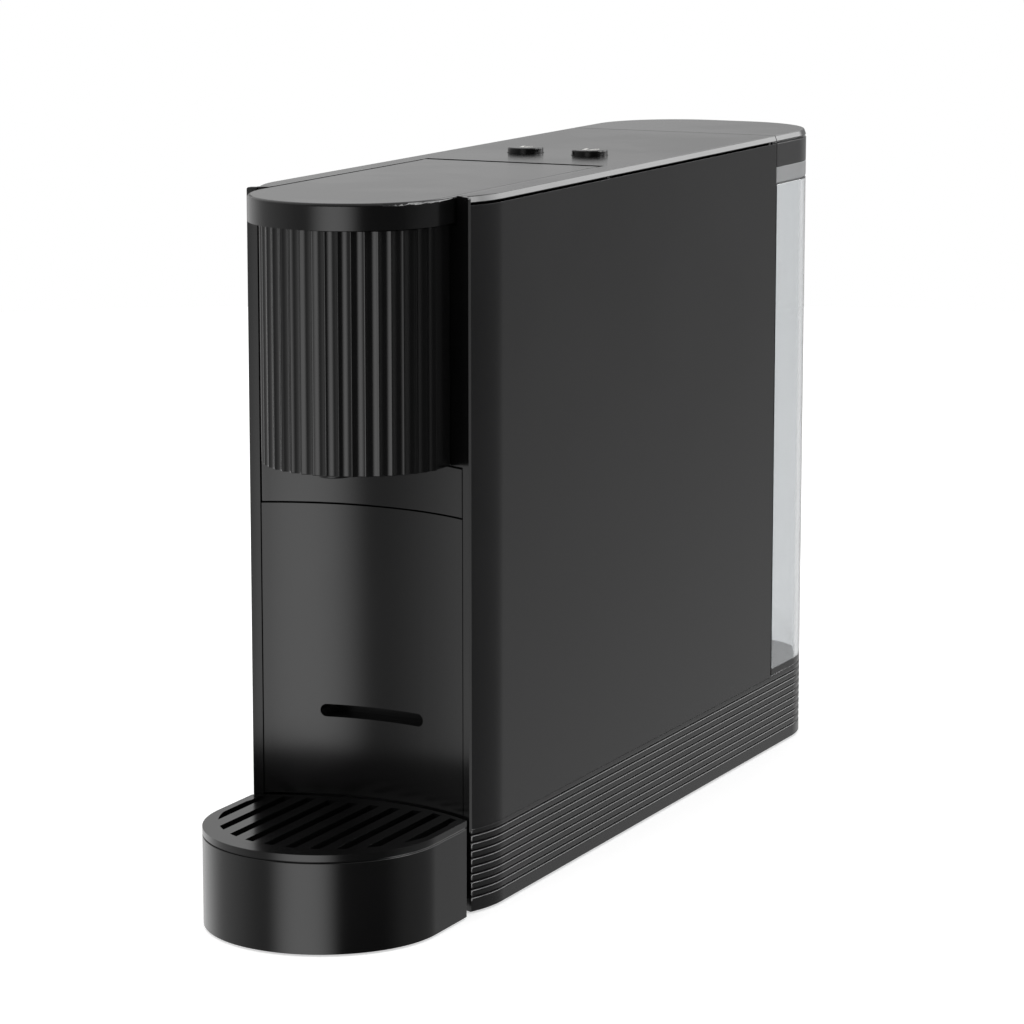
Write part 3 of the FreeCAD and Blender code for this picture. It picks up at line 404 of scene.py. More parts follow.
@dataclass(frozen=True)
class ClearPlastic(Finish):
    """See-through moulded plastic with a faint flow pattern in its walls."""

    ior: float = 1.45
    transmission: float = 1.0
    flow_size: float = 30.0
    flow_depth: float = 0.02
    roughness_change: float = 0.02
    tint_change: float = 0.02

    def wire(self, wiring: Wiring, shader: Node, spot: NodeSocket) -> None:
        """Feed tint, roughness and flow pattern.

        Args:
            wiring: The material's wiring.
            shader: Its shader node.
            spot: The place on the piece.
        """
        scale = per_metre(self.flow_size)
        flow = wiring.group(SurfaceEffects.mould_grain(), {
            "Vector": spot, "Grain Scale": scale, "Patch Scale": scale})
        tint = wiring.blend(flow["Patch"], shaded(self.colour, 1 - self.tint_change), self.colour)
        gloss = (self.roughness, self.roughness + self.roughness_change)
        self.feed(wiring, shader, tint, flow["Patch"], gloss, flow["Height"], self.flow_depth)
        shader.inputs["IOR"].default_value = self.ior
        shader.inputs["Transmission Weight"].default_value = self.transmission


@dataclass(frozen=True)
class Metal(Finish):
    """Bare metal with drawn lines."""

    line_size: float = 0.4
    line_depth: float = 0.004
    tone_change: float = 0.12
    roughness_change: float = 0.08

    def wire(self, wiring: Wiring, shader: Node, spot: NodeSocket) -> None:
        """Feed tone, roughness and lines.

        Args:
            wiring: The material's wiring.
            shader: Its shader node.
            spot: The place on the piece.
        """
        lines = wiring.group(SurfaceEffects.drawn_lines(), {
            "Vector": spot, "Scale": per_metre(self.line_size)})
        tone = wiring.blend(lines["Tone"], shaded(self.colour, 1 - self.tone_change), self.colour)
        gloss = (self.roughness, self.roughness + self.roughness_change)
        self.feed(wiring, shader, tone, lines["Tone"], gloss, lines["Height"], self.line_depth)
        shader.inputs["Metallic"].default_value = 1.0


SATIN_CHARCOAL = MouldedPlastic("satin_charcoal", (0.0058, 0.0058, 0.0061), 0.21)
TANK_CHARCOAL = MouldedPlastic("tank_charcoal", (0.026, 0.026, 0.027), 0.21)
SATIN_BLACK = MouldedPlastic("satin_black", (0.003, 0.003, 0.0031), 0.20, grain_depth=0.002)
GLOSS_BLACK = MouldedPlastic("gloss_black", (0.003, 0.003, 0.003), 0.22, grain_depth=0.001)
SPOUT_BLACK = MouldedPlastic("spout_plastic", (0.005, 0.005, 0.005), 0.35)
INNER_BLACK = MouldedPlastic("inner_black", (0.014, 0.014, 0.0145), 0.5, specular=0.4, grain_size=0.8)
SOFT_RUBBER = MouldedPlastic("black_rubber", (0.012, 0.012, 0.012), 0.75, specular=0.2, grain_size=0.9,
                             grain_depth=0.02)
MILKY_SILICONE = MouldedPlastic("milky_silicone", (0.62, 0.63, 0.61), 0.45, specular=0.35, edge_lift=1.0)
SWITCH_BLACK = MouldedPlastic("switch_plastic", (0.012, 0.012, 0.012), 0.5)
SOLDER_RESIST = MouldedPlastic("solder_resist", (0.012, 0.085, 0.035), 0.3, patch_size=4.0,
                               patch_change=0.45)
ICON_WHITE = MouldedPlastic("icon_ink", (0.78, 0.77, 0.74), 0.5, specular=0.3, grain_depth=0.002,
                            edge_lift=1.0)
CLEAR_TANK = ClearPlastic("clear_plastic", (0.765, 0.78, 0.79), 0.03)
COLLAR_GREY = MouldedPlastic("collar_plastic", (0.36, 0.365, 0.37), 0.38, specular=0.4, edge_lift=1.15)
VALVE_GREY = MouldedPlastic("valve_plastic", (0.40, 0.44, 0.48), 0.4, specular=0.4, edge_lift=1.1)
BRIGHT_STEEL = Metal("bright_steel", (0.60, 0.60, 0.61), 0.22)
CAST_ALUMINIUM = Metal("cast_alloy", (0.56, 0.57, 0.58), 0.42, line_size=1.2, line_depth=0.02)


def rested(shape: BMesh, name: str) -> Mesh:
    """Turn an edit mesh into a mesh with smooth faces whose normals follow the large faces.

    Args:
        shape: The edit mesh, which is freed.
        name: The mesh's name.

    Returns:
        The finished mesh.
    """
    mesh = bpy.data.meshes.new(name)
    shape.to_mesh(mesh)
    shape.free()
    return settled(mesh)


def settled(mesh: Mesh) -> Mesh:
    """Give a mesh smooth faces with sharp creases and normals weighted by face area.

    Args:
        mesh: The mesh, which is used up.

    Returns:
        The mesh with its normals.
    """
    mesh.shade_smooth()
    mesh.set_sharp_from_angle(angle=CREASE_ANGLE)
    holder = placed(mesh.name, mesh)
    weigh = holder.modifiers.new("weigh", "WEIGHTED_NORMAL")
    weigh.mode = "FACE_AREA"
    weigh.keep_sharp = True
    made = plain_mesh(holder)
    bpy.data.objects.remove(holder)
    return made


def plain_mesh(holder: Object) -> Mesh:
    """The mesh that an object's modifiers make, as plain data."""
    graph = bpy.context.evaluated_depsgraph_get()
    return bpy.data.meshes.new_from_object(holder.evaluated_get(graph), preserve_all_data_layers=True,
                                           depsgraph=graph)


def round_edges(shape: BMesh, radius: float, segments: int = 3, edges: Iterable[BMEdge] | None = None,
                outward: bool = False) -> None:
    """Round the creases of an edit mesh and mark the rounded faces as edges.

    Args:
        shape: The edit mesh.
        radius: The rounding in millimetres.
        segments: Steps across the rounding.
        edges: The edges to round, or None for every crease.
        outward: Whether only outer edges are rounded.
    """
    mark = shape.loops.layers.float.get(EDGE) or shape.loops.layers.float.new(EDGE)
    shape.normal_update()
    if edges is None:
        edges = [edge for edge in shape.edges if len(edge.link_faces) == 2
                 and edge.calc_face_angle(0.0) > CREASE_ANGLE and (edge.is_convex or not outward)]
    made = bmesh.ops.bevel(shape, geom=list(edges), offset=radius * MM, offset_type="OFFSET",
                           segments=segments, profile=0.5, affect="EDGES", clamp_overlap=True,
                           loop_slide=True)
    for face in made["faces"]:
        for corner in face.loops:
            corner[mark] = 1.0
    # A fresh copy keeps the order of the faces the same in every run.
    copy = bpy.data.meshes.new("copy")
    shape.to_mesh(copy)
    shape.clear()
    shape.from_mesh(copy)
    bpy.data.meshes.remove(copy)


def welded(node: str) -> BMesh:
    """A copy of a solid's mesh with its corners merged and its flat faces made whole.

    Args:
        node: The solid's name.

    Returns:
        An edit mesh.
    """
    shape = bmesh.new()
    shape.from_mesh(frame["nodes"][node].data)
    bmesh.ops.remove_doubles(shape, verts=shape.verts, dist=WELD)
    bmesh.ops.dissolve_limit(shape, angle_limit=FLAT_ANGLE, use_dissolve_boundaries=False,
                             verts=shape.verts, edges=shape.edges, delimit=set())
    return shape


def prism(outline: Sequence[Point], low: float, high: float) -> BMesh:
    """An outline raised from one height to another.

    Args:
        outline: The outline's points in plan, anticlockwise, in millimetres.
        low: The lower height.
        high: The upper height.

    Returns:
        An edit mesh.
    """
    shape = bmesh.new()
    under = [shape.verts.new((x * MM, y * MM, low * MM)) for x, y in outline]
    over = [shape.verts.new((x * MM, y * MM, high * MM)) for x, y in outline]
    shape.faces.new(under[::-1])
    shape.faces.new(over)
    for index, corner in enumerate(under):
        after = (index + 1) % len(under)
        shape.faces.new((corner, under[after], over[after], over[index]))
    return shape


def polyline(points: Sequence[Point], closed: bool, name: str) -> Mesh:
    """A line of edges in plan.

    Args:
        points: Its points in millimetres.
        closed: Whether the last point joins the first.
        name: The mesh's name.

    Returns:
        The line as a mesh.
    """
    mesh = bpy.data.meshes.new(name)
    edges = [(index, index + 1) for index in range(len(points) - 1)]
    if closed:
        edges.append((len(points) - 1, 0))
    mesh.from_pydata([(x * MM, y * MM, 0.0) for x, y in points], edges, [])
    return mesh


def arc(centre: Point, radius: float, start: float, end: float, steps: int) -> list[Point]:
    """Points along an arc in plan.

    Args:
        centre: The arc's centre.
        radius: Its radius.
        start: The angle at its start, in degrees.
        end: The angle at its end.
        steps: How many stretches it has.

    Returns:
        The points, both ends among them.
    """
    turns = [math.radians(start + (end - start) * index / steps) for index in range(steps + 1)]
    return [(centre[0] + radius * math.cos(turn), centre[1] + radius * math.sin(turn)) for turn in turns]


def turned(profile: Sequence[Point], sides: int) -> BMesh:
    """A form turned about the Z axis.

    Args:
        profile: Radius and height of each point, from the axis round to the axis again, in millimetres.
        sides: How many sides the round has.

    Returns:
        An edit mesh.
    """
    shape = bmesh.new()
    rings = []
    for radius, height in profile:
        turns = [math.tau * index / sides for index in range(sides)] if radius else [0.0]
        reach = radius * MM
        rings.append([shape.verts.new((reach * math.cos(turn), reach * math.sin(turn), height * MM))
                      for turn in turns])
    for lower, upper in zip(rings, rings[1:]):
        for index in range(sides):
            after = (index + 1) % sides
            loop = [lower[index % len(lower)], lower[after % len(lower)],
                    upper[after % len(upper)], upper[index % len(upper)]]
            shape.faces.new(list(dict.fromkeys(loop)))
    bmesh.ops.recalc_face_normals(shape, faces=shape.faces)
    return shape


def carved(mesh: Mesh, tool: Mesh) -> Mesh:
    """A mesh with another one cut out of it.

    Args:
        mesh: The mesh that is cut.
        tool: The form that is taken away.

    Returns:
        What is left, with its normals settled.
    """
    holder, cutter = placed(mesh.name, mesh), placed("cutter", tool)
    away = holder.modifiers.new("away", "BOOLEAN")
    away.operation = "DIFFERENCE"
    away.solver = "EXACT"
    away.object = cutter
    left = plain_mesh(holder)
    for item in (holder, cutter):
        bpy.data.objects.remove(item)
    return settled(left)


def joined(meshes: Iterable[Mesh], name: str) -> Mesh:
    """Several meshes as one.

    Args:
        meshes: The meshes, in order.
        name: The name of the whole.

    Returns:
        The whole.
    """
    shape = bmesh.new()
    for mesh in meshes:
        shape.from_mesh(mesh)
    return rested(shape, name)


def millimetres(node: str) -> tuple[Vector, Vector]:
    """The lowest and highest corner of a solid in millimetres."""
    low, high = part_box(node)
    return low / MM, high / MM


def heights(node: str) -> tuple[float, float]:
    """The lowest and highest level of a solid in millimetres."""
    low, high = millimetres(node)
    return low.z, high.z


def foot_pad(radius: float, low: float, high: float) -> Mesh:
    """A rubber foot on the Z axis with two rings of grip under it.

    Args:
        radius: The foot's radius in millimetres.
        low: The level it stands on.
        high: The level it is glued to.

    Returns:
        The foot's mesh.
    """
    groove = low + (high - low) * GRIP_DEPTH
    profile = [(0, groove)]
    for ring in GRIP_RINGS:
        profile += [(radius * share, level) for share, level in zip(ring, (groove, low, low, groove))]
    return rested(turned([*profile, (radius, high), (0, high)], ROUND_SIDES), "foot")


class Pattern:
    """Geometry Nodes trees for what repeats or follows a path."""

    GEOMETRY = {"Geometry": "NodeSocketGeometry"}

    @classmethod
    @cache
    def row_on_arc(cls) -> NodeTree:
        """Copies of a mesh side by side on an arc in plan, each with its -Y side facing outwards.

        Returns:
            The tree, with inputs for count, radius, angles, centre and material.
        """
        wiring, given, taken = new_tree("row_on_arc", "GeometryNodeTree", {
            **cls.GEOMETRY, "Count": "NodeSocketInt", "Radius": FLOAT, "Start": FLOAT, "Sweep": FLOAT,
            "Centre": VECTOR, "Material": "NodeSocketMaterial"}, cls.GEOMETRY)
        path = wiring.add("GeometryNodeCurveArc", {
            "Resolution": given["Count"], "Radius": given["Radius"], "Start Angle": given["Start"],
            "Sweep Angle": given["Sweep"]}, mode="RADIUS")
        tangent = wiring.add("GeometryNodeInputTangent").outputs[0]
        turn = wiring.add("FunctionNodeAlignRotationToVector", {"Vector": tangent}, axis="X", pivot_axis="Z")
        copies = wiring.add("GeometryNodeInstanceOnPoints", {
            "Points": path.outputs["Curve"], "Instance": given["Geometry"], "Rotation": turn.outputs[0]})
        moved = wiring.add("GeometryNodeTranslateInstances", {
            "Instances": copies.outputs[0], "Translation": given["Centre"], "Local Space": False})
        cls.finish(wiring, moved.outputs[0], given, taken)
        return wiring.tree

    @classmethod
    @cache
    def four_corners(cls) -> NodeTree:
        """Copies of a mesh at the four corners of a rectangle in plan.

        Returns:
            The tree, with inputs for the rectangle's width, depth and centre, and for the material.
        """
        wiring, given, taken = new_tree("four_corners", "GeometryNodeTree", {
            **cls.GEOMETRY, "Width": FLOAT, "Depth": FLOAT, "Centre": VECTOR,
            "Material": "NodeSocketMaterial"}, cls.GEOMETRY)
        corners = wiring.add("GeometryNodeMeshGrid", {
            "Size X": given["Width"], "Size Y": given["Depth"], "Vertices X": 2, "Vertices Y": 2})
        copies = wiring.add("GeometryNodeInstanceOnPoints", {
            "Points": corners.outputs["Mesh"], "Instance": given["Geometry"]})
        moved = wiring.add("GeometryNodeTranslateInstances", {
            "Instances": copies.outputs[0], "Translation": given["Centre"], "Local Space": False})
        cls.finish(wiring, moved.outputs[0], given, taken)
        return wiring.tree

    @classmethod
    @cache
    def along_path(cls) -> NodeTree:
        """A section carried along a level path, its X side to the right of the way and its Y side down.

        Returns:
            The tree, with inputs for the section's object and the material.
        """
        wiring, given, taken = new_tree("along_path", "GeometryNodeTree", {
            **cls.GEOMETRY, "Section": "NodeSocketObject", "Material": "NodeSocketMaterial"}, cls.GEOMETRY)
        path = wiring.add("GeometryNodeMeshToCurve", {"Mesh": given["Geometry"]})
        level = wiring.add("GeometryNodeSetCurveNormal", {"Curve": path.outputs[0]}, mode="Z_UP")
        section = wiring.add("GeometryNodeObjectInfo", {"Object": given["Section"]})
        outline = wiring.add("GeometryNodeMeshToCurve", {"Mesh": section.outputs["Geometry"]})
        swept = wiring.add("GeometryNodeCurveToMesh", {
            "Curve": level.outputs[0], "Profile Curve": outline.outputs[0], "Fill Caps": True})
        cls.finish(wiring, swept.outputs[0], given, taken)
        return wiring.tree

    @staticmethod
    def finish(wiring: Wiring, made: NodeSocket, given: NodeOutputs, taken: NodeInputs) -> None:
        """Make copies real and give them their material.

        Args:
            wiring: The tree's wiring.
            made: The socket with what the tree has made.
            given: The tree's inputs, which hold Material.
            taken: The tree's outputs.
        """
        real = wiring.add("GeometryNodeRealizeInstances", {"Geometry": made})
        painted = wiring.add("GeometryNodeSetMaterial", {
            "Geometry": real.outputs[0], "Material": given["Material"]})
        wiring.join(painted.outputs[0], taken["Geometry"])

    @staticmethod
    def run(tree: NodeTree, mesh: Mesh, sizes: Mapping[str, Any]) -> Mesh:
        """Run a tree over a mesh.

        Args:
            tree: The tree.
            mesh: What it works on.
            sizes: Its inputs by name.

        Returns:
            What it makes, as a plain mesh.
        """
        holder = placed(mesh.name, mesh)
        rule = holder.modifiers.new("rule", "NODES")
        rule.node_group = tree
        for socket in tree.interface.items_tree:
            if socket.in_out == "INPUT" and socket.name in sizes:
                rule[socket.identifier] = sizes[socket.name]
        made = plain_mesh(holder)
        holder.modifiers.remove(rule)
        bpy.data.objects.remove(holder)
        return made


class SubAssembly:
    """A group of pieces that are built and dressed together."""

    def build(self) -> None:
        """Make and dress the pieces; each sub-assembly does it in its own way."""
        raise NotImplementedError

    def add(self, name: str, mesh: Mesh, finish: Finish, slot: Slot, *nodes: str,
            body: str | None = None) -> Object:
        """Put a finished mesh into the scene.

        Args:
            name: The piece's name.
            mesh: Its mesh, in place.
            finish: Its finish.
            slot: The record's slot that it stands for; not used.
            *nodes: The solids that it stands for.
            body: The body it rides on, where it stands for no solid.

        Returns:
            The piece.
        """
        mesh.materials.clear()
        mesh.materials.append(finish.material())
        piece = placed(name, mesh)
        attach(piece, body or frame["nodes"][nodes[0]]["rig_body"])
        if nodes:
            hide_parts(*nodes)
        log.info("%s: %d faces", name, len(mesh.polygons))
        return piece

    def soften(self, node: str, finish: Finish, slot: Slot, radius: float, outward: bool = False,
               rim: float = 0.0) -> Object:
        """Stand in for a solid with the same form and rounded edges.

        Args:
            node: The solid's name.
            finish: The piece's finish.
            slot: Its slot in the record.
            radius: The rounding in millimetres.
            outward: Whether only outer edges are rounded.
            rim: The rounding where the top meets a leaning edge, where the solid has one.

        Returns:
            The piece.
        """
        shape = welded(node)
        if rim:
            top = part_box(node)[1].z
            shape.normal_update()
            leaning = {face for face in shape.faces if LEAN[0] < face.normal.z < LEAN[1]
                       and max(end.co.z for end in face.verts) > top - WELD}
            edges = [edge for edge in shape.edges
                     if edge.verts[0].co.z == edge.verts[1].co.z
                     and len(leaning.intersection(edge.link_faces)) == 1]
            round_edges(shape, rim, RIM_STEPS, edges)
        round_edges(shape, radius, outward=outward)
        return self.add(f"{node}_form", rested(shape, node), finish, slot, node)

    def add_at_corners(self, node: str, mesh: Mesh, reach: float, finish: Finish, slot: Slot) -> Object:
        """Stand in for a solid of four equal pieces, one at each corner of its box.

        Args:
            node: The solid's name.
            mesh: One piece, on the Z axis.
            reach: How far the piece goes out from its axis, in millimetres.
            finish: The pieces' finish.
            slot: Their slot in the record.

        Returns:
            The four pieces as one.
        """
        low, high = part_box(node)
        span = high - low
        middle = (low + high) / 2
        four = Pattern.run(Pattern.four_corners(), mesh, {
            "Width": span.x - 2 * reach * MM, "Depth": span.y - 2 * reach * MM,
            "Centre": (middle.x, middle.y, 0.0), "Material": finish.material()})
        return self.add(f"{node}_form", four, finish, slot, node)

    def paint(self, finish: Finish, *nodes: str) -> None:
        """Give solids that keep their own mesh a finish.

        Args:
            finish: The finish.
            *nodes: The solids' names.
        """
        for node in nodes:
            mesh = frame["nodes"][node].data
            mesh.materials.clear()
            mesh.materials.append(finish.material())
            log.info("%s: solid in %s", node, finish.name)


@dataclass
class Base(SubAssembly):
    """Ribbed base with its closing plate, screws, feet and cord gland."""

    half: float = 46.5
    front_y: float = -115.0
    rear_y: float = 209.0
    corner: float = 38.0
    front_steps: int = 16
    corner_steps: int = 32
    grooves: int = 9
    first_groove: float = 6.3
    rib_pitch: float = 2.89
    rib_depth: float = 0.9
    rib_power: float = 6.0
    rib_steps: int = 24
    skin: float = 1.2
    lip_round: float = 0.4
    gland_gap: float = 0.1
    edge_round: float = 0.3
    screw_head: float = 3.0
    screw_shank: float = 1.5
    screw_rim: float = 0.5
    screw_sides: int = 32
    head_thick: float = 2.0
    recess_long: float = 3.4
    recess_wide: float = 0.9
    recess_deep: float = 1.3
    foot_radius: float = 8.0

    def screw_mesh(self, low: float, high: float) -> Mesh:
        """One screw on the Z axis, head downwards, with a cross recess.

        Args:
            low: The height of its head's face.
            high: The height of its tip.

        Returns:
            The screw's mesh.
        """
        head, shank, rim = self.screw_head, self.screw_shank, self.screw_rim
        neck = low + self.head_thick
        body = turned([(0, low), (head - rim, low), (head, low + rim), (head, neck), (shank, neck),
                       (shank, high - shank), (0, high)], self.screw_sides)
        long, wide = self.recess_long / 2, self.recess_wide / 2
        cross = [(wide, -long), (wide, -wide), (long, -wide), (long, wide), (wide, wide), (wide, long),
                 (-wide, long), (-wide, wide), (-long, wide), (-long, -wide), (-wide, -wide), (-wide, -long)]
        tool = prism(cross, low - CUT_PAST, low + self.recess_deep)
        return carved(rested(body, "base_screw"), rested(tool, "recess"))

    def path(self, front_end: float) -> list[Point]:
        """The base's outline in plan, from the cup bay round the rear to the cup bay again.

        Args:
            front_end: The level in Y at which it starts and ends.

        Returns:
            Its points.
        """
        end = math.degrees(math.acos((self.front_y - front_end) / self.half))
        side, back = self.half - self.corner, self.rear_y - self.corner
        front = (0.0, self.front_y)
        return [*arc(front, self.half, -90 - end, -180, self.front_steps),
                *arc((-side, back), self.corner, 180, 90, self.corner_steps),
                *arc((side, back), self.corner, 90, 0, self.corner_steps),
                *arc(front, self.half, 0, end - 90, self.front_steps)]

    def section(self, low: float, high: float) -> list[Point]:
        """The ribbed skin cut across, as points of depth from the outline and height.

        Args:
            low: The base's lower edge.
            high: Its upper edge.

        Returns:
            The section's points.
        """
        outer = [(self.lip_round, low), (0.0, low + self.lip_round)]
        levels = [self.first_groove + self.rib_pitch * index for index in range(self.grooves)]
        for level in (levels[0] - self.rib_pitch, *levels):
            for step in range(1, self.rib_steps + 1):
                share = 2 * step / self.rib_steps - 1
                if level < levels[0] and share < 0:
                    continue
                sink = self.rib_depth * abs(share) ** self.rib_power
                height = level + self.rib_pitch * step / self.rib_steps
                if height < high - self.lip_round:
                    outer.append((sink, height))
        return [*outer, (0.0, high - self.lip_round), (self.lip_round, high), (self.skin, high),
                (self.skin, low)]

    def skin_mesh(self) -> Mesh:
        """The ribbed skin, open where the cord's gland sits.

        Returns:
            The skin's mesh.
        """
        low, high = millimetres("ribbed_base")
        section = [(depth, -height) for depth, height in self.section(low.z, high.z)]
        profile = placed("rib_section", polyline(section, True, "rib_section"))
        swept = Pattern.run(Pattern.along_path(), polyline(self.path(low.y), False, "rib_path"),
                            {"Section": profile, "Material": SATIN_CHARCOAL.material()})
        bpy.data.objects.remove(profile)
        shape = bmesh.new()
        shape.from_mesh(swept)
        bmesh.ops.recalc_face_normals(shape, faces=shape.faces)
        start, end = millimetres("cord_gland")
        reach = (end.x - start.x) / 2 + self.gland_gap
        deep = self.skin
        tool = turned([(0, -deep), (reach, -deep), (reach, deep), (0, deep)], ROUND_SIDES)
        for corner in tool.verts:
            x, y, z = corner.co
            corner.co = (x, self.rear_y * MM - z, (start.z + end.z) / 2 * MM + y)
        bmesh.ops.recalc_face_normals(tool, faces=tool.faces)
        return carved(rested(shape, "ribbed_skin"), rested(tool, "gland_hole"))

    def core_mesh(self) -> Mesh:
        """The base without its ribs: its wall drawn back to the inner side of the skin.

        Returns:
            The core's mesh.
        """
        shape = welded("ribbed_base")
        side, back = self.half - self.corner, self.rear_y - self.corner
        for corner in shape.verts:
            x, y = corner.co.x / MM, corner.co.y / MM
            centre, radius = Vector((0.0, y)), self.half
            if y < self.front_y:
                centre = Vector((0.0, self.front_y))
            elif y > back:
                centre, radius = Vector((max(-side, min(side, x)), back)), self.corner
            away = Vector((x, y)) - centre
            if away.length > radius - self.skin:
                spot = centre + away * ((radius - self.skin) / away.length)
                corner.co.xy = spot * MM
        bmesh.ops.dissolve_degenerate(shape, dist=WELD, edges=shape.edges)
        slivers = [face for face in shape.faces if face.calc_area() < SLIVER_AREA]
        bmesh.ops.delete(shape, geom=slivers, context="FACES_ONLY")
        return rested(shape, "base_core")

    def build(self) -> None:
        """Make and dress the pieces."""
        shell = joined((self.core_mesh(), self.skin_mesh()), "ribbed_base")
        self.add("ribbed_base_form", shell, SATIN_CHARCOAL, Slot.CHARCOAL, "ribbed_base")
        self.soften("bottom_plate", INNER_BLACK, Slot.DARK, self.edge_round)
        self.soften("cord_gland", SOFT_RUBBER, Slot.RUBBER, self.edge_round)
        screw = self.screw_mesh(*heights("base_screws"))
        self.add_at_corners("base_screws", screw, self.screw_head, BRIGHT_STEEL, Slot.STEEL)
        foot = foot_pad(self.foot_radius, *heights("feet"))
        self.add_at_corners("feet", foot, self.foot_radius, SOFT_RUBBER, Slot.RUBBER)


@dataclass
class Covers(SubAssembly):
    """Outer covers, the front frame, the panel of the cup bay and the wall towards the tank."""

    cover_round: float = 0.06
    top_round: float = 0.4
    top_rim: float = 0.35
    frame_round: float = 0.5
    frame_corner: float = 2.6
    corner_steps: int = 6
    panel_round: float = 0.45

    def frame_mesh(self) -> Mesh:
        """The front frame with its upper outer corners rounded off.

        Returns:
            The frame's mesh.
        """
        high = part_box("front_frame")[1]
        shape = welded("front_frame")
        corners = [edge for edge in shape.edges
                   if all(high.z - end.co.z < WELD and high.x - abs(end.co.x) < WELD for end in edge.verts)]
        round_edges(shape, self.frame_corner, self.corner_steps, corners)
        round_edges(shape, self.frame_round)
        return rested(shape, "front_frame")

    def build(self) -> None:
        """Make and dress the pieces."""
        for node in ("right_side_cover", "left_side_cover"):
            self.soften(node, SATIN_CHARCOAL, Slot.CHARCOAL, self.cover_round)
        self.soften("top_cover", SATIN_CHARCOAL, Slot.CHARCOAL, self.top_round, rim=self.top_rim)
        self.add("front_frame_form", self.frame_mesh(), SATIN_BLACK, Slot.DARK, "front_frame")
        self.soften("bay_panel", SATIN_BLACK, Slot.DARK, self.panel_round)
        self.soften("rear_wall", SATIN_CHARCOAL, Slot.CHARCOAL, self.panel_round)
        self.paint(BRIGHT_STEEL, "hinge_pin")


@dataclass
class BrewHead(SubAssembly):
    """Fluted drum, the deck with the pod slot, the coffee funnel and the spout."""

    flutes: int = 20
    fluted_arc: float = 156.8
    radius: float = 35.0
    skin: float = 0.9
    flute_depth: float = 0.7
    hollow_share: float = 0.86
    flute_root: float = 0.4
    flute_round: float = 0.35
    wall: float = 2.4
    wall_round: float = 0.4
    arc_steps: int = 72
    flute_steps: int = 28
    spout_round: float = 0.5
    deck_round: float = 0.5

    def flute_mesh(self, low: float, high: float) -> Mesh:
        """One flute: a hollow between two half ridges, its outer side towards -Y.

        Args:
            low: Its lower end.
            high: Its upper end.

        Returns:
            The flute's mesh, with its origin on the drum's outer round.
        """
        half_pitch = self.fluted_arc / self.flutes / 2
        outer = []
        for index in range(self.flute_steps + 1):
            share = 2 * index / self.flute_steps - 1
            away = abs(share)
            if away < self.hollow_share:
                sink = self.flute_depth * (1 - away ** 2 / self.hollow_share)
            else:
                sink = self.flute_depth * (1 - away) ** 2 / (1 - self.hollow_share)
            turn = math.radians(share * half_pitch)
            reach = self.radius - sink
            outer.append((reach * math.sin(turn), self.radius - reach * math.cos(turn)))
        root = self.skin + self.flute_root
        shape = prism([*outer, (outer[-1][0], root), (outer[0][0], root)], low, high)
        ends = [edge for edge in shape.edges
                if all(end.co.y < self.skin * MM for end in edge.verts)
                and edge.verts[0].co.z == edge.verts[1].co.z]
        round_edges(shape, self.flute_round, edges=ends)
        return rested(shape, "flute")

    def drum_mesh(self) -> Mesh:
        """The drum: a wall in a half round with flutes set out along it.

        Returns:
            The drum's mesh.
        """
        low, high = millimetres("fluted_drum")
        core = self.radius - self.skin
        inner = core - self.wall
        centre_y = low.y + self.radius
        outline = [(-core, high.y), *arc((0, centre_y), core, -180, 0, self.arc_steps), (core, high.y),
                   (inner, high.y), *arc((0, centre_y), inner, 0, -180, self.arc_steps), (-inner, high.y)]
        shell = prism(outline, low.z, high.z)
        round_edges(shell, self.wall_round)
        spread = self.fluted_arc * (1 - 1 / self.flutes)
        row = Pattern.run(Pattern.row_on_arc(), self.flute_mesh(low.z, high.z), {
            "Count": self.flutes, "Radius": self.radius * MM,
            "Start": math.radians(-90 - spread / 2), "Sweep": math.radians(spread),
            "Centre": (0, centre_y * MM, 0), "Material": SATIN_BLACK.material()})
        return joined((rested(shell, "drum_wall"), row), "fluted_drum")

    def build(self) -> None:
        """Make and dress the pieces."""
        self.add("fluted_drum_form", self.drum_mesh(), SATIN_BLACK, Slot.DARK, "fluted_drum")
        self.soften("spout", SPOUT_BLACK, Slot.SPOUT, self.spout_round)
        self.soften("inner_deck", SATIN_BLACK, Slot.DARK, self.deck_round)
        self.paint(INNER_BLACK, "coffee_funnel")


@dataclass
class Lid(SubAssembly):
    """Lid with its liner."""

    edge_round: float = 0.35

    def build(self) -> None:
        """Make and dress the pieces."""
        self.soften("lid_shell", SATIN_BLACK, Slot.CHARCOAL, self.edge_round)
        self.soften("lid_liner", SATIN_BLACK, Slot.DARK, self.edge_round)


@dataclass
class BrewingUnit(SubAssembly):
    """Frame, cage, injector and carriage inside the head."""

    def build(self) -> None:
        """Make and dress the pieces."""
        self.paint(INNER_BLACK, "brew_frame", "brew_carriage")
        self.paint(CAST_ALUMINIUM, "pod_cage")
        self.paint(BRIGHT_STEEL, "injector_head", "extraction_plate", "drive_pins")
        self.paint(SOFT_RUBBER, "pod_seal")


@dataclass
class PodDrawer(SubAssembly):
    """Drawer for used pods, with the bay that it runs in."""

    front_round: float = 0.45
    bin_round: float = 0.4

    def build(self) -> None:
        """Make and dress the pieces."""
        self.soften("drawer_front", SATIN_BLACK, Slot.DARK, self.front_round)
        self.soften("grip_pocket", SATIN_BLACK, Slot.DARK, self.bin_round)
        self.soften("pod_bin", INNER_BLACK, Slot.INNER, self.bin_round)
        self.paint(INNER_BLACK, "bin_bay", "middle_shelf")


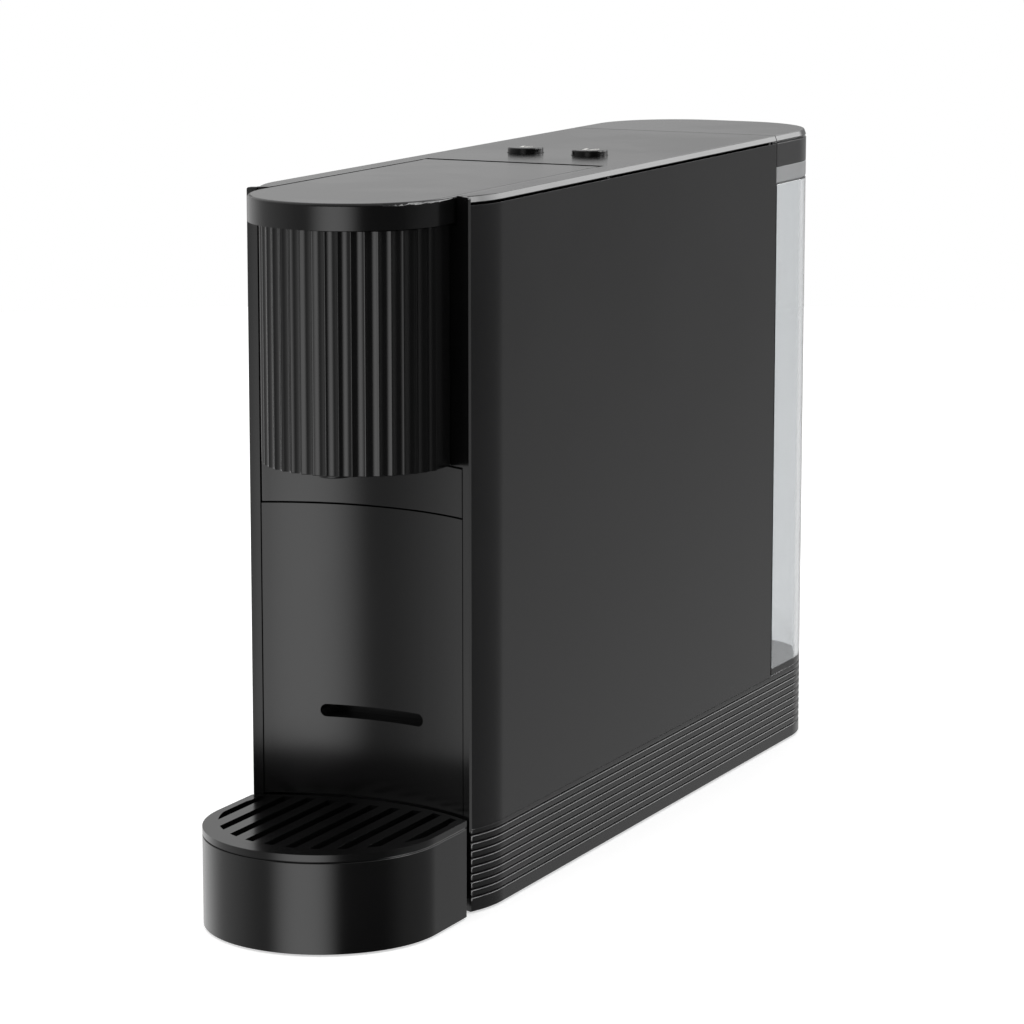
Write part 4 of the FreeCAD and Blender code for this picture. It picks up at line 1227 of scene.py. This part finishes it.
@dataclass
class DripTray(SubAssembly):
    """Drip tray with its feet and its slotted cover."""

    tub_round: float = 0.6
    grid_round: float = 0.5
    foot_radius: float = 5.0

    def build(self) -> None:
        """Make and dress the pieces."""
        self.soften("drip_tray", SATIN_BLACK, Slot.DARK, self.tub_round)
        self.soften("drip_grid", SATIN_BLACK, Slot.DARK, self.grid_round, outward=True)
        foot = foot_pad(self.foot_radius, *heights("tray_feet"))
        self.add_at_corners("tray_feet", foot, self.foot_radius, SOFT_RUBBER, Slot.RUBBER)


@dataclass
class WaterTank(SubAssembly):
    """Clear tank with its collar, lid and valve, and the seat that it stands on."""

    vessel_round: float = 0.5
    collar_round: float = 0.25
    lid_round: float = 0.4
    lid_rim: float = 0.35

    def build(self) -> None:
        """Make and dress the pieces."""
        self.soften("tank_vessel", CLEAR_TANK, Slot.CLEAR, self.vessel_round)
        self.soften("tank_collar", COLLAR_GREY, Slot.COLLAR, self.collar_round)
        self.soften("tank_lid", TANK_CHARCOAL, Slot.CHARCOAL, self.lid_round, rim=self.lid_rim)
        self.soften("tank_valve", VALVE_GREY, Slot.INNER, self.collar_round)
        self.soften("tank_seat", INNER_BLACK, Slot.INNER, self.collar_round)
        self.paint(SOFT_RUBBER, "seat_seal")


class CupSize(Enum):
    """The cups that the buttons fill, by the share of the icon's full size."""

    SMALL = 0.78
    LARGE = 1.0


@dataclass
class Controls(SubAssembly):
    """Two push buttons with the board and switches under them."""

    button_round: float = 0.5
    icon_sink: float = 0.06
    icon_base: float = 0.3
    cup_top: float = 5.8
    cup_foot: float = 3.8
    cup_tall: float = 6.2
    cup_line: float = 1.1
    handle_radius: float = 1.8
    handle_start: float = -75.0
    handle_end: float = 80.0
    handle_rise: float = 0.25
    handle_steps: int = 12

    def icon_mesh(self, spot: Point, top: float, size: CupSize) -> Mesh:
        """A cup drawn in one line, with its handle to the right.

        Args:
            spot: The middle of the icon in plan.
            top: The level of its upper face.
            size: Which cup it shows.

        Returns:
            The icon's mesh.
        """
        wide, foot, tall = self.cup_top / 2, self.cup_foot / 2, self.cup_tall / 2
        line = self.cup_line / size.value
        cup = [(-foot, -tall), (foot, -tall), (wide, tall), (wide - line, tall), (foot - line, line - tall),
               (line - foot, line - tall), (line - wide, tall), (-wide, tall)]
        ear = ((wide + foot) / 2 - line / 2, tall * self.handle_rise)
        start, end, steps = self.handle_start, self.handle_end, self.handle_steps
        handle = [*arc(ear, self.handle_radius, start, end, steps),
                  *arc(ear, self.handle_radius - line, end, start, steps)]
        parts = []
        for outline in (cup, handle):
            placed = [(spot[0] + x * size.value, spot[1] + y * size.value) for x, y in outline]
            parts.append(rested(prism(placed, top - self.icon_base, top), "stroke"))
        return joined(parts, "cup_icon")

    def button_mesh(self, node: str) -> Mesh:
        """A button with its face sunk below the icon.

        Args:
            node: The button's solid.

        Returns:
            The button's mesh.
        """
        shape = welded(node)
        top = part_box(node)[1].z
        for corner in shape.verts:
            if top - corner.co.z < WELD:
                corner.co.z -= self.icon_sink * MM
        round_edges(shape, self.button_round)
        return rested(shape, node)

    def build(self) -> None:
        """Make and dress the pieces."""
        for node, size in (("left_button", CupSize.SMALL), ("right_button", CupSize.LARGE)):
            self.add(f"{node}_form", self.button_mesh(node), GLOSS_BLACK, Slot.GLOSS, node)
            low, high = millimetres(node)
            spot = ((low.x + high.x) / 2, (low.y + high.y) / 2)
            self.add(f"{node}_icon", self.icon_mesh(spot, high.z, size), ICON_WHITE, Slot.GLOSS,
                     body=frame["nodes"][node]["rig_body"])
        self.paint(SOLDER_RESIST, "control_board")
        self.paint(SWITCH_BLACK, "switches")


@dataclass
class WaterCircuit(SubAssembly):
    """Pump, flow meter, heater and the hoses between them."""

    def build(self) -> None:
        """Dress the pieces."""
        self.paint(INNER_BLACK, "pump", "flow_meter")
        self.paint(SOFT_RUBBER, "pump_mounts")
        self.paint(CAST_ALUMINIUM, "heater_block")
        self.paint(BRIGHT_STEEL, "thermostat")
        self.paint(MILKY_SILICONE, "tank_hose", "meter_hose", "pressure_hose", "brew_hose")


@dataclass(frozen=True)
class Lamp:
    """A softbox that lights the machine and stays out of its reflections."""

    name: str
    place: Place
    aim: Place
    width: float
    height: float
    radiance: float

    def light(self) -> None:
        """Put the softbox into the scene."""
        data = bpy.data.lights.new(self.name, "AREA")
        data.shape = "RECTANGLE"
        data.size = self.width
        data.size_y = self.height
        data.energy = self.radiance * math.pi * self.width * self.height
        lamp = placed(self.name, data)
        lamp.location = self.place
        way = Vector(self.aim) - Vector(self.place)
        lamp.rotation_euler = way.to_track_quat("-Z", "Y").to_euler()
        lamp.visible_camera = False
        lamp.visible_glossy = False


@dataclass(frozen=True)
class Glow:
    """A soft bright patch that gloss shows: full out to the core, gone at the reach, both in degrees."""

    way: Place
    level: float
    reach: float
    core: float


@dataclass(frozen=True)
class Ramp:
    """A level of the surroundings that eases from one value to another along an axis."""

    axis: str
    span: Point
    levels: Point


@dataclass
class Studio:
    """Camera, floor, lamps and surroundings."""

    azimuth: float = 25.54
    elevation: float = 10.256
    distance: float = 1500.0
    aim: Place = (18.2, -48.6, 132.0)
    lens: float = 139.83
    sensor: float = 36.0
    nearest: float = 0.05
    farthest: float = 100.0
    floor_reach: float = 1.6
    floor_sides: int = 96
    floor_colour: Colour = (0.86, 0.86, 0.86)
    floor_lift: float = 0.55
    floor_through: float = 0.25
    fill_level: float = 0.8
    left_near: Ramp = Ramp("X", (-0.5, -0.15), (0.27, 0.0))
    left_far: Ramp = Ramp("X", (-1.0, -0.5), (0.40, 0.0))
    left_rise: Ramp = Ramp("Z", (-0.26, -0.10), (1.0, 0.55))
    back_rise: Ramp = Ramp("Z", (-0.30, -0.08), (0.33, 0.18))
    back_foot: Ramp = Ramp("Z", (-0.55, -0.32), (0.1, 1.0))
    back_inner: Ramp = Ramp("X", (0.28, 0.46), (1.7, 1.0))
    back_outer: Ramp = Ramp("X", (0.46, 0.60), (1.0, 0.62))
    back_turn: Ramp = Ramp("Y", (-0.15, 0.35), (0.0, 1.0))
    ceiling: Ramp = Ramp("Z", (0.3, 0.8), (0.05, 0.55))
    glows: tuple[Glow, ...] = (
        Glow((0.114, -0.926, -0.36), 2.3, 34.0, 3.0),
        Glow((0.388, 0.898, 0.206), 4.0, 11.0, 4.0),
        Glow((0.64, 0.70, 0.31), 5.0, 16.0, 6.0),
        Glow((0.86, 0.27, 0.43), 8.0, 20.0, 8.0),
        Glow((-0.04, 0.90, 0.44), 1.8, 13.0, 5.0),
    )
    lamps: tuple[Lamp, ...] = (
        Lamp("front_softbox", (-0.6, -2.0, 1.1), (0.0, -0.1, 0.15), 1.2, 1.2, 1.6),
        Lamp("overhead_softbox", (0.0, 0.1, 1.9), (0.0, 0.0, 0.1), 1.6, 1.6, 0.6),
    )

    def set_camera(self) -> None:
        """Put the camera where the photograph was taken from."""
        data = bpy.data.cameras.new("camera")
        data.lens = self.lens
        data.sensor_width = self.sensor
        data.clip_start = self.nearest
        data.clip_end = self.farthest
        camera = placed("camera", data)
        turn, rise = math.radians(self.azimuth), math.radians(self.elevation)
        back = Vector((math.sin(turn) * math.cos(rise), -math.cos(turn) * math.cos(rise), math.sin(rise)))
        camera.location = (Vector(self.aim) + back * self.distance) * MM
        camera.rotation_euler = (-back).to_track_quat("-Z", "Y").to_euler()
        bpy.context.scene.camera = camera

    def lay_floor(self) -> None:
        """Lay a round pale floor that shows white and keeps the machine's shadow."""
        shape = bmesh.new()
        bmesh.ops.create_circle(shape, cap_ends=True, segments=self.floor_sides, radius=self.floor_reach)
        mesh = bpy.data.meshes.new("floor")
        shape.to_mesh(mesh)
        shape.free()
        material = bpy.data.materials.new("floor_paper")
        wiring = cleared(material)
        paper = wiring.add("ShaderNodeBsdfDiffuse", {"Color": (*self.floor_colour, 1.0)})
        path = wiring.add("ShaderNodeLightPath").outputs
        through = wiring.maths("MAXIMUM", path["Is Glossy Ray"], path["Is Transmission Ray"])
        lift = wiring.maths("ADD", wiring.maths("MULTIPLY", path["Is Camera Ray"], self.floor_lift),
                            wiring.maths("MULTIPLY", through, self.floor_through))
        glow = wiring.add("ShaderNodeEmission", {"Strength": lift})
        both = wiring.add("ShaderNodeAddShader", {0: paper.outputs[0], 1: glow.outputs[0]})
        wiring.add("ShaderNodeOutputMaterial", {"Surface": both.outputs[0]})
        mesh.materials.append(material)
        floor = placed("floor", mesh)
        floor.visible_glossy = False

    def room(self, wiring: Wiring) -> NodeSocket:
        """What gloss shows of the studio: pale behind and on the left, dark on the right in front.

        Args:
            wiring: The world's wiring.

        Returns:
            The socket with the brightness by direction.
        """
        way = wiring.add("ShaderNodeTexCoord").outputs["Generated"]
        axes = wiring.add("ShaderNodeSeparateXYZ", {"Vector": way}).outputs

        def level(first: Ramp, *others: Ramp) -> NodeSocket:
            """The product of ramps."""
            made = wiring.spread(axes[first.axis], first.span, first.levels)
            return wiring.maths("MULTIPLY", made, level(*others)) if others else made

        left = wiring.maths("ADD", level(self.left_near), level(self.left_far, self.left_rise))
        back = level(self.back_rise, self.back_foot, self.back_inner, self.back_outer, self.back_turn)
        total = wiring.maths("ADD", wiring.maths("ADD", left, back), level(self.ceiling))
        for glow in self.glows:
            aim = tuple(Vector(glow.way).normalized())
            near = wiring.add("ShaderNodeVectorMath", {0: way, 1: aim}, operation="DOT_PRODUCT")
            edges = tuple(math.cos(math.radians(angle)) for angle in (glow.reach, glow.core))
            patch = wiring.spread(near.outputs["Value"], edges, (0.0, glow.level))
            total = wiring.maths("ADD", total, patch)
        return total

    def surround(self) -> None:
        """Make the surroundings: white to the eye and through glass, the studio's own light elsewhere."""
        world = bpy.data.worlds.new("studio")
        bpy.context.scene.world = world
        wiring = cleared(world)
        path = wiring.add("ShaderNodeLightPath").outputs
        seen = wiring.maths("MAXIMUM", path["Is Camera Ray"], path["Is Transmission Ray"])
        plain = wiring.spread(seen, FULL, (self.fill_level, 1.0), soft=False)
        straight = wiring.maths("SUBTRACT", 1.0, path["Is Transmission Ray"])
        mirrored = wiring.maths("MULTIPLY", path["Is Glossy Ray"], straight)
        joins = {MIX_SHARE: mirrored, **dict(zip(MIX_VALUES, (plain, self.room(wiring))))}
        level = wiring.add("ShaderNodeMix", joins).outputs[0]
        back = wiring.add("ShaderNodeBackground", {"Color": (1.0, 1.0, 1.0, 1.0), "Strength": level})
        wiring.add("ShaderNodeOutputWorld", {"Surface": back.outputs[0]})

    def build(self) -> None:
        """Set up everything round the machine."""
        self.set_camera()
        self.lay_floor()
        self.surround()
        for lamp in self.lamps:
            lamp.light()
        bpy.context.scene.view_settings.view_transform = "Standard"


def main() -> None:
    """Build the studio and the machine, logging each piece's face count."""
    logging.basicConfig(level=logging.INFO, format="%(message)s")
    Studio().build()
    for part in (Base(), Covers(), BrewHead(), Lid(), BrewingUnit(), PodDrawer(), DripTray(), WaterTank(),
                 Controls(), WaterCircuit()):
        log.info("building %s", type(part).__name__)
        part.build()


if __name__ == "__main__":
    main()
